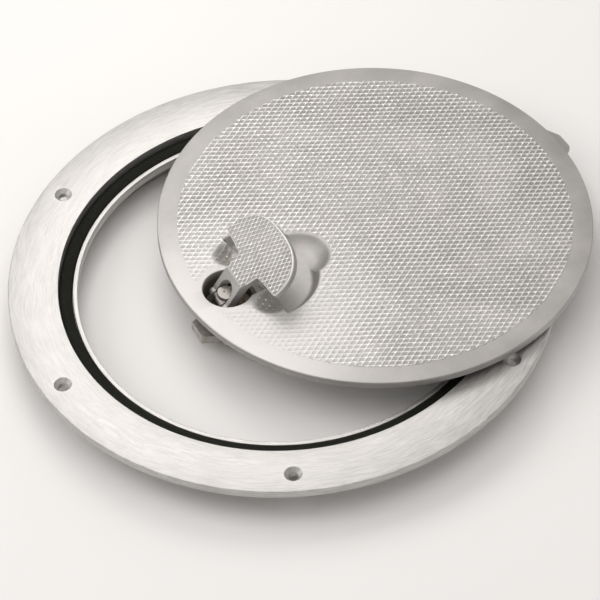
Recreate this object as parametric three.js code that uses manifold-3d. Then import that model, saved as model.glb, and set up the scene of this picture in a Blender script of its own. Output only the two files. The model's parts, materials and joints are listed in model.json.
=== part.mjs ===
// Round flush deck hatch, opened: a cast ring frame with its seal, and the loose lid that leans in it,
// carrying a lift-and-turn latch. Millimetres, +Z up. The origin is the bottom centre of the whole
// object's box; the frame's collar stands on the plane z = 0.
import * as THREE from "three";
import { mergeVertices } from "three/addons/utils/BufferGeometryUtils.js";
import Module from "manifold-3d";

const wasm = await Module();
wasm.setup();

// ---- driving dimensions ----------------------------------------------------------------------

// Frame. Depths are measured down from the flange's top face.
const FLANGE_RADIUS = 192.5;
const FLANGE_THICKNESS = 6.4;
const FRAME_HEIGHT = 29.7;
const RECESS_RADIUS = 157.4;
const LIP_DEPTH = 6.5;
const LIP_OUTER_RADIUS = 147.5;
const OPENING_RADIUS = 144.2;
const GROOVE_DEPTH = 10;
const LEDGE_UNDERSIDE_DEPTH = 13.5;
const COLLAR_INNER_RADIUS = 154.8;
const COLLAR_OUTER_RADIUS = 160;
const SCREW_COUNT = 6;
const SCREW_CIRCLE_RADIUS = 177.5;
const SCREW_HOLE_RADIUS = 3.4;
const SCREW_SINK_RADIUS = 6.25;
const STRIKE_INNER_RADIUS = 144.6;
const STRIKE_HALF_ANGLE = 8;
const STRIKE_BOTTOM_DEPTH = 29.3;
const STRIKE_LEAD_IN = 2.2;
const LUG_POCKET_RADIUS = 161.2;
const LUG_POCKET_TOP_DEPTH = 2.3;
const LUG_POCKET_BOTTOM_DEPTH = 6.6;
const LUG_POCKET_HALF_WIDTH = 13;

// Seal: a solid rubber ring in the groove outside the lip.
const SEAL_OUTER_RADIUS = 157;
const SEAL_INNER_RADIUS = 150.6;
const SEAL_TOP_DEPTH = 5.4;
const SEAL_CROWN = 1.3;

// Lid. Depths are measured down from the lid's top face, along its own axis.
const LID_RADIUS = 153.8;
const LID_THICKNESS = 5.8;
const LID_EDGE_ROUND = 1;
const LUG_REACH = 160.2;
const LUG_HALF_WIDTH = 6.6;
const LUG_ANGLE_DEG = -2.65;
const LUG_TOP_DEPTH = 2.7;
const SHAFT_OFFSET = 122.7;
const WELL_RADIUS = 17.6;
const WELL_DEPTH = 19;
const BOSS_RADIUS = 21.2;
const BOSS_DEPTH = 22.5;
const HEAD_POCKET_CENTRE = 25.8;
const HEAD_POCKET_RADIUS = 41.5;
const HEAD_POCKET_CHORD = 22.5;
const HEAD_POCKET_DEPTH = 7.8;
const SCOOP_CENTRE = 59.9;
const SCOOP_RADIUS = 19.9;
const STEM_SLOT_HALF_WIDTH = 13.9;
const STEM_SLOT_DEPTH = 11;
const POCKET_WALL = 3.4;
const FINGER_DIP = { x: 22.5, y: 26.3, rx: 15, ry: 12.2, rz: 6.2 };
const BUSH_HOLE_RADIUS = 8.5;

// How the opened lid lies: it hangs over the flange on the lug's side and stands on the latch's foot.
const LID_SHIFT = 77.9;
const LID_LIFT = 10.6;
const LID_TILT_DEG = 2.28;
const LID_TURN_DEG = 0.5;

// Latch: every length below is measured from the shaft's axis and down from the lid's top face. It lies
// turned a little from the locked position, with its handle raised.
const LATCH_TURN_DEG = -5.4;
const HANDLE_RAISE_DEG = 34.3;
const SHAFT_RADIUS = 6.2;
const NECK_RADIUS = 3;
const NECK_TOP_DEPTH = 6.9;
const SHAFT_SQUARE = 9;
const THREAD_RADIUS = 5.2;
const STUD_RADIUS = 4.3;
const SHAFT_END_DEPTH = 44.3;
const PIVOT_X = -6.2;
const PIVOT_DEPTH = 9.5;
const PIN_RADIUS = 1.6;
const PIN_HEAD_RADIUS = 2.3;
const HUB_RADIUS = 7.4;
const HUB_HALF_WIDTH = 6;
const HUB_TOP_DEPTH = 3.2;
const HUB_STEP_X = 2.4;
const HUB_STEP_DEPTH = 5.6;
const HUB_BOTTOM_DEPTH = 14.2;
const EAR_SIDE_Y = 2.2;
const ROLL_PIN_RADIUS = 1.5;
const ROLL_PIN_DEPTH = 12.1;
const COIL_RADIUS = 2.2;
const COIL_WIRE = 0.5;
const COIL_TURNS = 2.5;

// Handle, folded flat.
const HANDLE_TOP_DEPTH = 0.3;
const HANDLE_THICKNESS = 6;
const HANDLE_REACH = 59.1;
const HANDLE_HEAD_CENTRE = 30;
const HANDLE_HEAD_HALF_WIDTH = 36.1;
const HANDLE_HEAD_ROUNDNESS = 2.48;
const HANDLE_NOTCH = { x: 26.1, y: 13.7 };
const HANDLE_TIP = { x: 28.3, y: 35 };
const FORK_HALF_WIDTH = 11;
const FORK_GAP_HALF_WIDTH = 7;
const FORK_GAP_END = 8.5;
const FORK_CRANK_X = 13;
const FORK_DROP_DEG = 21;
const FORK_EYE_RADIUS = 3.2;

// Dog, stop pins and nut.
const DOG_TOP_DEPTH = 30;
const DOG_BOTTOM_DEPTH = 37;
const DOG_HUB_TOP_DEPTH = 29;
const DOG_HUB_RADIUS = 14;
const DOG_REACH = 25.2;
const DOG_ROOT_X = 9;
const DOG_TIP_HALF_WIDTH = 8;
const DOG_TAPER_DEG = 20;
const STOP_PIN_CIRCLE_RADIUS = 19.5;
const STOP_PIN_RADIUS = 2.2;
const STOP_PIN_ANGLES_DEG = { locked: 233.4, open: 36.6 };
const NUT_ACROSS_FLATS = 22;
const BUSH_NUT_ACROSS_FLATS = 24;
const DOG_WASHER_RADIUS = 13;
const DOG_WASHER_THICKNESS = 1.7;
const SPRING_WASHER_RADIUS = 10.4;
const SPRING_WASHER_THICKNESS = 0.6;

// Bearing of the shaft in the lid.
const GASKET_THICKNESS = 1;
const BUSH_FLANGE_THICKNESS = 1.8;
const BUSH_FLANGE_RADIUS = 11;
const BUSH_NUT_THICKNESS = 4;
const THRUST_WASHER_THICKNESS = 0.8;
const O_RING_DEPTHS = [20.2, 24.6];
const O_RING_RADIUS = 0.9;

// Smoothness, and the play between pieces.
const RING_SEGMENTS = 96;
const SMALL_SEGMENTS = 32;
const GAP = 0.3;

// Heights of the faces in the stack on the shaft, from the gasket on the well's floor up to the washer,
// and of the ends of the bush and its nut below the boss.
const GASKET_TOP = -WELL_DEPTH + GAP + GASKET_THICKNESS;
const BUSH_TOP = GASKET_TOP + GAP + BUSH_FLANGE_THICKNESS;
const THRUST_WASHER_TOP = BUSH_TOP + GAP + THRUST_WASHER_THICKNESS;
const BUSH_NUT_BOTTOM = -BOSS_DEPTH - GAP - BUSH_NUT_THICKNESS;
const BUSH_BOTTOM = BUSH_NUT_BOTTOM - 0.4;

const FINISH = {
  castAluminium: { color: 0xb5b2ac, metalness: 0.9, roughness: 0.5 },
  brushedAluminium: { color: 0xc9c6c1, metalness: 0.95, roughness: 0.38 },
  stainless: { color: 0xa9a7a2, metalness: 1, roughness: 0.28 },
  bronze: { color: 0x9a7048, metalness: 1, roughness: 0.4 },
  rubber: { color: 0x191a18, metalness: 0, roughness: 0.8 },
};

// ---- solids ----------------------------------------------------------------------------------

function rad(degrees) {
  return (degrees * Math.PI) / 180;
}

// A three.js geometry as a manifold solid: shared vertices merged, slivers dropped, faces outward.
function solid(geometry) {
  const bare = new THREE.BufferGeometry();
  bare.setAttribute("position", geometry.getAttribute("position").clone());
  if (geometry.index) bare.setIndex(geometry.index.clone());
  const merged = mergeVertices(bare, 1e-4);
  const position = merged.getAttribute("position");
  const triangles = [];
  let volume = 0;
  const [a, b, c] = [new THREE.Vector3(), new THREE.Vector3(), new THREE.Vector3()];
  for (let i = 0; i < merged.index.count; i += 3) {
    const [p, q, r] = [0, 1, 2].map((k) => merged.index.getX(i + k));
    if (p === q || q === r || r === p) continue;
    triangles.push([p, q, r]);
    a.fromBufferAttribute(position, p);
    b.fromBufferAttribute(position, q);
    c.fromBufferAttribute(position, r);
    volume += a.dot(b.cross(c));
  }
  const outward = volume > 0 ? triangles : triangles.map(([p, q, r]) => [p, r, q]);
  const mesh = new wasm.Mesh({
    numProp: 3,
    vertProperties: new Float32Array(position.array),
    triVerts: new Uint32Array(outward.flat()),
  });
  return new wasm.Manifold(mesh);
}

// A body of revolution about +Z from a closed (radius, z) outline.
function turned(outline, segments = SMALL_SEGMENTS) {
  const points = [...outline, outline[0]].map(([r, z]) => new THREE.Vector2(r, z));
  return solid(new THREE.LatheGeometry(points, segments).rotateX(Math.PI / 2));
}

function rod(radius, top, bottom, x = 0, y = 0, segments = SMALL_SEGMENTS) {
  const geometry = new THREE.CylinderGeometry(radius, radius, top - bottom, segments);
  return solid(geometry.rotateX(Math.PI / 2).translate(x, y, (top + bottom) / 2));
}

function tube(outer, inner, top, bottom, segments = SMALL_SEGMENTS) {
  return turned([[inner, top], [outer, top], [outer, bottom], [inner, bottom]], segments);
}

// A rod along Y, between two y values.
function crossRod(radius, x, z, y0, y1, segments = 20) {
  const geometry = new THREE.CylinderGeometry(radius, radius, y1 - y0, segments);
  return solid(geometry.translate(x, (y0 + y1) / 2, z));
}

function box(x0, x1, y0, y1, z0, z1) {
  const geometry = new THREE.BoxGeometry(x1 - x0, y1 - y0, z1 - z0);
  return solid(geometry.translate((x0 + x1) / 2, (y0 + y1) / 2, (z0 + z1) / 2));
}

// A plate with an (x, y) outline between two heights.
function plate(shape, top, bottom, curveSegments = 24) {
  const geometry = new THREE.ExtrudeGeometry(shape, {
    depth: top - bottom, bevelEnabled: false, curveSegments,
  });
  return solid(geometry.translate(0, 0, bottom));
}

// A slab with an (x, z) outline, from y0 to y1.
function slab(outline, y0, y1) {
  const shape = new THREE.Shape(outline.map(([x, z]) => new THREE.Vector2(x, z)));
  const geometry = new THREE.ExtrudeGeometry(shape, { depth: y1 - y0, bevelEnabled: false });
  return solid(geometry.rotateX(Math.PI / 2).translate(0, y1, 0));
}

function hexagon(acrossFlats, top, bottom) {
  return rod(acrossFlats / 2 / Math.cos(Math.PI / 6), top, bottom, 0, 0, 6);
}

function ellipsoid(x, y, z, rx, ry, rz) {
  const geometry = new THREE.SphereGeometry(1, 28, 20);
  return solid(geometry.scale(rx, ry, rz).translate(x, y, z));
}

function piece(name, body, finish) {
  const { numProp, vertProperties, triVerts } = body.getMesh();
  const position = new Float32Array((vertProperties.length / numProp) * 3);
  for (let i = 0; i < position.length; i++) {
    position[i] = vertProperties[Math.floor(i / 3) * numProp + (i % 3)];
  }
  const geometry = new THREE.BufferGeometry();
  geometry.setAttribute("position", new THREE.BufferAttribute(position, 3));
  geometry.setIndex(new THREE.BufferAttribute(new Uint32Array(triVerts), 1));
  geometry.computeVertexNormals();
  const mesh = new THREE.Mesh(geometry, new THREE.MeshStandardMaterial(FINISH[finish]));
  mesh.name = name;
  return mesh;
}

// ---- frame: heights are measured from the flange's top face --------------------------------------

function frameRing() {
  const section = [
    [FLANGE_RADIUS, -0.6], [FLANGE_RADIUS - 0.6, 0], [RECESS_RADIUS, 0], [RECESS_RADIUS, -GROOVE_DEPTH],
    [LIP_OUTER_RADIUS, -GROOVE_DEPTH], [LIP_OUTER_RADIUS, -LIP_DEPTH], [OPENING_RADIUS, -LIP_DEPTH],
    [OPENING_RADIUS, -LEDGE_UNDERSIDE_DEPTH], [COLLAR_INNER_RADIUS, -LEDGE_UNDERSIDE_DEPTH],
    [COLLAR_INNER_RADIUS, -FRAME_HEIGHT], [COLLAR_OUTER_RADIUS, -FRAME_HEIGHT],
    [COLLAR_OUTER_RADIUS, -FLANGE_THICKNESS], [FLANGE_RADIUS, -FLANGE_THICKNESS],
  ];
  let ring = turned(section, RING_SEGMENTS);
  ring = ring.add(strike()).add(lugPocketWall()).subtract(lugPocket());
  for (let i = 0; i < SCREW_COUNT; i++) ring = ring.subtract(screwHole((i * 360) / SCREW_COUNT));
  return piece("frame_ring", ring, "brushedAluminium");
}

// A sector of a round tube between two angles.
function sector(outer, inner, top, bottom, centreDeg, halfDeg) {
  const shape = new THREE.Shape();
  const [start, end] = [rad(centreDeg - halfDeg), rad(centreDeg + halfDeg)];
  shape.absarc(0, 0, outer, start, end, false);
  shape.absarc(0, 0, inner, end, start, true);
  return plate(shape, top, bottom, 8);
}

// The block under the ledge that the latch's dog turns beneath, with a sloped lead-in on its open side.
function strike() {
  const block = sector(
    COLLAR_INNER_RADIUS + 1, STRIKE_INNER_RADIUS, -LEDGE_UNDERSIDE_DEPTH + 1, -STRIKE_BOTTOM_DEPTH,
    180, STRIKE_HALF_ANGLE,
  );
  const halfLength = STRIKE_INNER_RADIUS * Math.sin(rad(STRIKE_HALF_ANGLE)) + 2;
  const leadIn = new THREE.BoxGeometry(30, halfLength, 2 * STRIKE_LEAD_IN);
  leadIn.rotateX(Math.atan2(STRIKE_LEAD_IN, halfLength));
  leadIn.translate(-STRIKE_INNER_RADIUS - 5, halfLength / 2 + 1, -STRIKE_BOTTOM_DEPTH - STRIKE_LEAD_IN / 2);
  return block.subtract(solid(leadIn));
}

function lugPocketWall() {
  return sector(
    LUG_POCKET_RADIUS + 3, RECESS_RADIUS + 1, -FLANGE_THICKNESS + 1, -LUG_POCKET_BOTTOM_DEPTH - 3,
    LUG_ANGLE_DEG, 7,
  );
}

function lugPocket() {
  const cutter = rod(
    LUG_POCKET_RADIUS, -LUG_POCKET_TOP_DEPTH, -LUG_POCKET_BOTTOM_DEPTH, 0, 0, 2 * RING_SEGMENTS,
  );
  return cutter.intersect(box(
    RECESS_RADIUS - 8, LUG_POCKET_RADIUS + 1, -LUG_POCKET_HALF_WIDTH, LUG_POCKET_HALF_WIDTH,
    -LUG_POCKET_BOTTOM_DEPTH - 1, 1,
  )).rotate([0, 0, LUG_ANGLE_DEG]);
}

function screwHole(angleDeg) {
  const sinkDepth = SCREW_SINK_RADIUS - SCREW_HOLE_RADIUS;
  const outline = [
    [0, 1], [SCREW_SINK_RADIUS + 1, 1], [SCREW_HOLE_RADIUS, -sinkDepth],
    [SCREW_HOLE_RADIUS, -FLANGE_THICKNESS - 1], [0, -FLANGE_THICKNESS - 1],
  ];
  const [c, s] = [Math.cos(rad(angleDeg)), Math.sin(rad(angleDeg))];
  return turned(outline, 24).translate(SCREW_CIRCLE_RADIUS * c, SCREW_CIRCLE_RADIUS * s, 0);
}

function frameSeal() {
  const [inner, outer, top] = [SEAL_INNER_RADIUS, SEAL_OUTER_RADIUS, -SEAL_TOP_DEPTH];
  const outline = [
    [inner, -GROOVE_DEPTH + 0.05], [outer, -GROOVE_DEPTH + 0.05], [outer, top - 0.6],
    [outer - SEAL_CROWN, top], [inner + SEAL_CROWN, top], [inner, top - SEAL_CROWN],
  ];
  return piece("frame_seal", turned(outline, RING_SEGMENTS), "rubber");
}

// ---- lid: in the lid's own frame, its top face at z = 0 and its latch towards -X --------------------

function lidPlate() {
  const disc = turned([
    [0, 0], [LID_RADIUS - LID_EDGE_ROUND, 0], [LID_RADIUS - 0.3, -0.3], [LID_RADIUS, -LID_EDGE_ROUND],
    [LID_RADIUS, -LID_THICKNESS + 0.4], [LID_RADIUS - 0.4, -LID_THICKNESS], [0, -LID_THICKNESS],
  ], RING_SEGMENTS);
  let lid = disc.add(lidLug()).add(pocketBulge()).add(latchBoss());
  lid = lid.subtract(handlePocket()).subtract(latchWell());
  for (const side of [-1, 1]) lid = lid.subtract(fingerDip(side));
  return piece("lid_plate", lid, "castAluminium");
}

// The tongue on the rim, across from the latch, that slides under the flange: its top slopes down outward.
// One flank runs out gently into the rim, the other is short.
function lidLug() {
  const root = LID_RADIUS - 6;
  const half = LUG_HALF_WIDTH;
  const shape = new THREE.Shape();
  shape.moveTo(root, -1.6 * half);
  shape.lineTo(LID_RADIUS + 1, -1.35 * half);
  shape.quadraticCurveTo(LUG_REACH, -1.1 * half, LUG_REACH, -half + 2);
  shape.lineTo(LUG_REACH, half - 2);
  shape.quadraticCurveTo(LUG_REACH, half, LUG_REACH - 1.5, 1.3 * half);
  shape.quadraticCurveTo(LID_RADIUS + 1.5, 1.9 * half, root, 3 * half);
  const side = slab([
    [root, -LID_EDGE_ROUND], [LID_RADIUS - 1, -LID_EDGE_ROUND], [LUG_REACH - 1, -LUG_TOP_DEPTH],
    [LUG_REACH, -LUG_TOP_DEPTH - 0.7], [LUG_REACH, -LID_THICKNESS], [root, -LID_THICKNESS],
  ], -4 * half, 4 * half);
  return plate(shape, 0, -LID_THICKNESS, 6).intersect(side).rotate([0, 0, LUG_ANGLE_DEG]);
}

// The handle's pocket, in plan: a half-round for the head, grown by a margin.
function headPocket(margin, top, bottom) {
  const shape = new THREE.Shape();
  const radius = HEAD_POCKET_RADIUS + margin;
  const chord = HEAD_POCKET_CHORD - margin;
  const centre = HEAD_POCKET_CENTRE;
  const half = Math.acos((chord - centre) / radius);
  shape.absarc(centre - SHAFT_OFFSET, 0, radius, -half, half, false);
  return plate(shape, top, bottom, 48);
}

function scoop(margin, top, bottom) {
  return rod(SCOOP_RADIUS + margin, top, bottom, SCOOP_CENTRE - SHAFT_OFFSET, 0, 48);
}

function stemSlot(margin, top, bottom) {
  return box(
    -SHAFT_OFFSET, HEAD_POCKET_CHORD + 6 + margin - SHAFT_OFFSET,
    -STEM_SLOT_HALF_WIDTH - margin, STEM_SLOT_HALF_WIDTH + margin, bottom, top,
  );
}

function handlePocket() {
  return headPocket(0, 1, -HEAD_POCKET_DEPTH).add(scoop(0, 1, -HEAD_POCKET_DEPTH))
    .add(stemSlot(0, 1, -STEM_SLOT_DEPTH));
}

function pocketBulge() {
  const [top, wall] = [-LID_THICKNESS + 1, POCKET_WALL];
  return headPocket(wall, top, -HEAD_POCKET_DEPTH - wall).add(scoop(wall, top, -HEAD_POCKET_DEPTH - wall))
    .add(stemSlot(wall, top, -STEM_SLOT_DEPTH - wall));
}

function fingerDip(side) {
  const { x, y, rx, ry, rz } = FINGER_DIP;
  const dip = ellipsoid(x - SHAFT_OFFSET, side * y, 0, rx, ry, rz);
  return dip.intersect(box(-SHAFT_OFFSET - 5, x + 1 - SHAFT_OFFSET, -60, 60, -20, 20));
}

function stopPinPlace(angleDeg) {
  return [
    STOP_PIN_CIRCLE_RADIUS * Math.cos(rad(angleDeg)) - SHAFT_OFFSET,
    STOP_PIN_CIRCLE_RADIUS * Math.sin(rad(angleDeg)),
  ];
}

// The round boss under the latch's well, with a pad for each stop pin.
function latchBoss() {
  let boss = rod(BOSS_RADIUS, -LID_THICKNESS + 1, -BOSS_DEPTH, -SHAFT_OFFSET, 0, 64);
  for (const angle of Object.values(STOP_PIN_ANGLES_DEG)) {
    const [x, y] = stopPinPlace(angle);
    boss = boss.add(rod(2 * STOP_PIN_RADIUS, -LID_THICKNESS + 1, -BOSS_DEPTH, x, y, 24));
  }
  return boss;
}

function latchWell() {
  let well = rod(WELL_RADIUS, 1, -WELL_DEPTH, -SHAFT_OFFSET, 0, 64)
    .add(rod(BUSH_HOLE_RADIUS, 0, -BOSS_DEPTH - 1, -SHAFT_OFFSET, 0));
  for (const angle of Object.values(STOP_PIN_ANGLES_DEG)) {
    const [x, y] = stopPinPlace(angle);
    well = well.add(rod(STOP_PIN_RADIUS + GAP, -WELL_DEPTH - 1.2, -BOSS_DEPTH - 1, x, y, 20));
  }
  return well;
}

function stopPin(name, angleDeg) {
  const [x, y] = stopPinPlace(angleDeg);
  const pin = rod(STOP_PIN_RADIUS, -WELL_DEPTH - 1.5, -DOG_BOTTOM_DEPTH + 2, x, y, 20);
  return piece(name, pin, "stainless");
}

// ---- shaft bearing: in the shaft's frame, heights down from the lid's top face ----------------------

function shaftBush() {
  const flangeBottom = BUSH_TOP - BUSH_FLANGE_THICKNESS;
  const bore = SHAFT_RADIUS + GAP;
  const barrel = BUSH_HOLE_RADIUS - GAP;
  const bush = turned([
    [bore, BUSH_TOP], [BUSH_FLANGE_RADIUS, BUSH_TOP], [BUSH_FLANGE_RADIUS, flangeBottom],
    [barrel, flangeBottom], [barrel, BUSH_BOTTOM], [bore, BUSH_BOTTOM],
  ]);
  return piece("shaft_bush", bush, "bronze");
}

function bushGasket() {
  const ring = tube(
    BUSH_FLANGE_RADIUS + 1, BUSH_HOLE_RADIUS, GASKET_TOP, GASKET_TOP - GASKET_THICKNESS,
  );
  return piece("bush_gasket", ring, "rubber");
}

function bushNut() {
  const nut = hexagon(BUSH_NUT_ACROSS_FLATS, -BOSS_DEPTH - GAP, BUSH_NUT_BOTTOM)
    .subtract(rod(BUSH_HOLE_RADIUS, 0, -40));
  return piece("bush_nut", nut, "bronze");
}

// ---- latch: turns with the shaft ------------------------------------------------------------------

function latchShaft() {
  const square = box(
    -SHAFT_SQUARE / 2, SHAFT_SQUARE / 2, -SHAFT_SQUARE / 2, SHAFT_SQUARE / 2,
    -DOG_BOTTOM_DEPTH - 0.2, -DOG_HUB_TOP_DEPTH + 0.4,
  );
  const shoulder = -HUB_BOTTOM_DEPTH - GAP;
  let shaft = turned([
    [0, -NECK_TOP_DEPTH], [NECK_RADIUS, -NECK_TOP_DEPTH], [NECK_RADIUS, shoulder],
    [SHAFT_RADIUS, shoulder], [SHAFT_RADIUS, -DOG_HUB_TOP_DEPTH + 0.3], [0, -DOG_HUB_TOP_DEPTH + 0.3],
  ]);
  const seat = square.intersect(rod(SHAFT_RADIUS, -20, -40));
  const stud = rod(STUD_RADIUS, -DOG_BOTTOM_DEPTH, -SHAFT_END_DEPTH);
  for (const depth of O_RING_DEPTHS) shaft = shaft.subtract(oRingGroove(depth));
  shaft = shaft.add(seat).add(stud);
  return piece("latch_shaft", shaft.subtract(crossHole()), "stainless");
}

// The hole for the roll pin that fixes the hub to the shaft.
function crossHole() {
  return crossRod(ROLL_PIN_RADIUS + GAP, 0, -ROLL_PIN_DEPTH, -20, 20, 16);
}

function oRingGroove(depth) {
  const [top, bottom] = [-depth + O_RING_RADIUS + 0.2, -depth - O_RING_RADIUS - 0.2];
  return tube(SHAFT_RADIUS + 1, SHAFT_RADIUS - 1.7, top, bottom);
}

function oRing(name, depth) {
  const ring = new THREE.TorusGeometry(SHAFT_RADIUS - 0.62, O_RING_RADIUS - 0.1, 10, SMALL_SEGMENTS);
  return piece(name, solid(ring.translate(0, 0, -depth)), "rubber");
}

// The round head on the shaft's neck, with two flat sides and its front half lower. It carries the
// handle's pin behind the neck, and leaves room on one side for the spring.
function leverHub() {
  const room = crossRod(COIL_RADIUS + COIL_WIRE + GAP, PIVOT_X, -PIVOT_DEPTH, EAR_SIDE_Y, 12, 24);
  const ear = crossRod(FORK_EYE_RADIUS, PIVOT_X, -PIVOT_DEPTH, -HUB_HALF_WIDTH, EAR_SIDE_Y, 24);
  const hub = rod(HUB_RADIUS, -HUB_TOP_DEPTH, -HUB_BOTTOM_DEPTH, 0, 0, 48)
    .intersect(box(-20, 20, -HUB_HALF_WIDTH, HUB_HALF_WIDTH, -20, 0))
    .subtract(box(HUB_STEP_X, 20, -20, 20, -HUB_STEP_DEPTH, 0))
    .subtract(room).add(ear)
    .subtract(rod(NECK_RADIUS + GAP, -NECK_TOP_DEPTH + GAP, -20))
    .subtract(crossRod(PIN_RADIUS + GAP, PIVOT_X, -PIVOT_DEPTH, -12, 12))
    .subtract(crossHole());
  return piece("lever_hub", hub, "stainless");
}

function pivotPin() {
  const half = FORK_HALF_WIDTH + 1.2;
  const pin = crossRod(PIN_RADIUS, PIVOT_X, -PIVOT_DEPTH, -half, half)
    .add(crossRod(PIN_HEAD_RADIUS, PIVOT_X, -PIVOT_DEPTH, -half, -FORK_HALF_WIDTH - GAP))
    .add(crossRod(PIN_HEAD_RADIUS, PIVOT_X, -PIVOT_DEPTH, FORK_HALF_WIDTH + GAP, half));
  return piece("pivot_pin", pin, "stainless");
}

function rollPin() {
  const pin = crossRod(ROLL_PIN_RADIUS, 0, -ROLL_PIN_DEPTH, -HUB_HALF_WIDTH + 0.2, HUB_HALF_WIDTH - 0.2)
    .subtract(crossRod(ROLL_PIN_RADIUS - 0.6, 0, -ROLL_PIN_DEPTH, -10, 10, 12));
  return piece("hub_roll_pin", pin, "stainless");
}

// The centre line of the handle's torsion spring, on the pin between the hub's ear and a fork arm.
class Coil extends THREE.Curve {
  getPoint(t, target = new THREE.Vector3()) {
    const turns = COIL_TURNS * t;
    const angle = 2 * Math.PI * turns + Math.PI / 2;
    const pitch = 2 * COIL_WIRE + 0.25;
    const x = PIVOT_X + COIL_RADIUS * Math.cos(angle);
    const y = EAR_SIDE_Y + GAP + COIL_WIRE + pitch * turns;
    return target.set(x, y, -PIVOT_DEPTH + COIL_RADIUS * Math.sin(angle));
  }
}

function springCoil() {
  const section = new THREE.Shape();
  section.absarc(0, 0, COIL_WIRE, 0, 2 * Math.PI, false);
  const geometry = new THREE.ExtrudeGeometry(section, {
    steps: Math.round(COIL_TURNS * 20), extrudePath: new Coil(), curveSegments: 4,
  });
  return piece("spring_coil", solid(geometry), "stainless");
}

function thrustWasher() {
  const [top, bottom] = [THRUST_WASHER_TOP, THRUST_WASHER_TOP - THRUST_WASHER_THICKNESS];
  const ring = tube(BUSH_FLANGE_RADIUS - 0.5, SHAFT_RADIUS + GAP, top, bottom);
  return piece("thrust_washer", ring, "bronze");
}

// The spring washer between the bush and the dog: a ring with a shallow cone.
function springWasher() {
  const [inner, outer, t] = [SHAFT_RADIUS + GAP, SPRING_WASHER_RADIUS, SPRING_WASHER_THICKNESS];
  const top = BUSH_BOTTOM - GAP;
  const ring = turned([[inner, top], [outer, top - 0.5], [outer, top - 0.5 - t], [inner, top - t]]);
  return piece("spring_washer", ring, "stainless");
}

function latchDog() {
  const flare = Math.tan(rad(DOG_TAPER_DEG));
  const cornerY = DOG_TIP_HALF_WIDTH + 1.5 * flare;
  const rootY = DOG_TIP_HALF_WIDTH + (DOG_REACH - DOG_ROOT_X) * flare;
  const shape = new THREE.Shape();
  shape.moveTo(-DOG_ROOT_X, -rootY);
  shape.lineTo(-DOG_ROOT_X, rootY);
  shape.lineTo(-DOG_REACH + 1.5, cornerY);
  shape.quadraticCurveTo(-DOG_REACH, DOG_TIP_HALF_WIDTH, -DOG_REACH, DOG_TIP_HALF_WIDTH - 1.5);
  shape.lineTo(-DOG_REACH, -DOG_TIP_HALF_WIDTH + 1.5);
  shape.quadraticCurveTo(-DOG_REACH, -DOG_TIP_HALF_WIDTH, -DOG_REACH + 1.5, -cornerY);
  const [top, bottom] = [-DOG_TOP_DEPTH, -DOG_BOTTOM_DEPTH];
  const nose = slab([
    [0, top], [-DOG_REACH + 1.4, top], [-DOG_REACH, top - 1.4], [-DOG_REACH, bottom], [0, bottom],
  ], -30, 30);
  const halfBore = SHAFT_SQUARE / 2 + GAP;
  const bore = rod(SHAFT_RADIUS + GAP, 0, -60)
    .intersect(box(-halfBore, halfBore, -halfBore, halfBore, -60, 0));
  const dog = plate(shape, top, bottom, 4).intersect(nose)
    .add(rod(DOG_HUB_RADIUS, -DOG_HUB_TOP_DEPTH, bottom, 0, 0, 48)).subtract(bore);
  return piece("latch_dog", dog, "stainless");
}

function dogWasher() {
  const top = -DOG_BOTTOM_DEPTH - GAP;
  const ring = tube(DOG_WASHER_RADIUS, THREAD_RADIUS, top, top - DOG_WASHER_THICKNESS);
  return piece("dog_washer", ring, "stainless");
}

function lockNut() {
  const top = -DOG_BOTTOM_DEPTH - DOG_WASHER_THICKNESS - 2 * GAP;
  const nut = hexagon(NUT_ACROSS_FLATS, top, -SHAFT_END_DEPTH - 0.2).subtract(rod(THREAD_RADIUS, 0, -60));
  return piece("lock_nut", nut, "stainless");
}

// ---- handle: in the shaft's frame with the handle folded flat ---------------------------------------

// The head's round front: a superellipse from one tip to the other.
function headFront(steps) {
  const [a, b, n] = [HANDLE_REACH - HANDLE_HEAD_CENTRE, HANDLE_HEAD_HALF_WIDTH, HANDLE_HEAD_ROUNDNESS];
  return Array.from({ length: steps + 1 }, (_, i) => {
    const angle = -Math.PI / 2 + (Math.PI * i) / steps;
    const x = HANDLE_HEAD_CENTRE + a * Math.cos(angle) ** (2 / n);
    const y = Math.sign(angle) * b * Math.abs(Math.sin(angle)) ** (2 / n);
    return new THREE.Vector2(x, y);
  });
}

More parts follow.
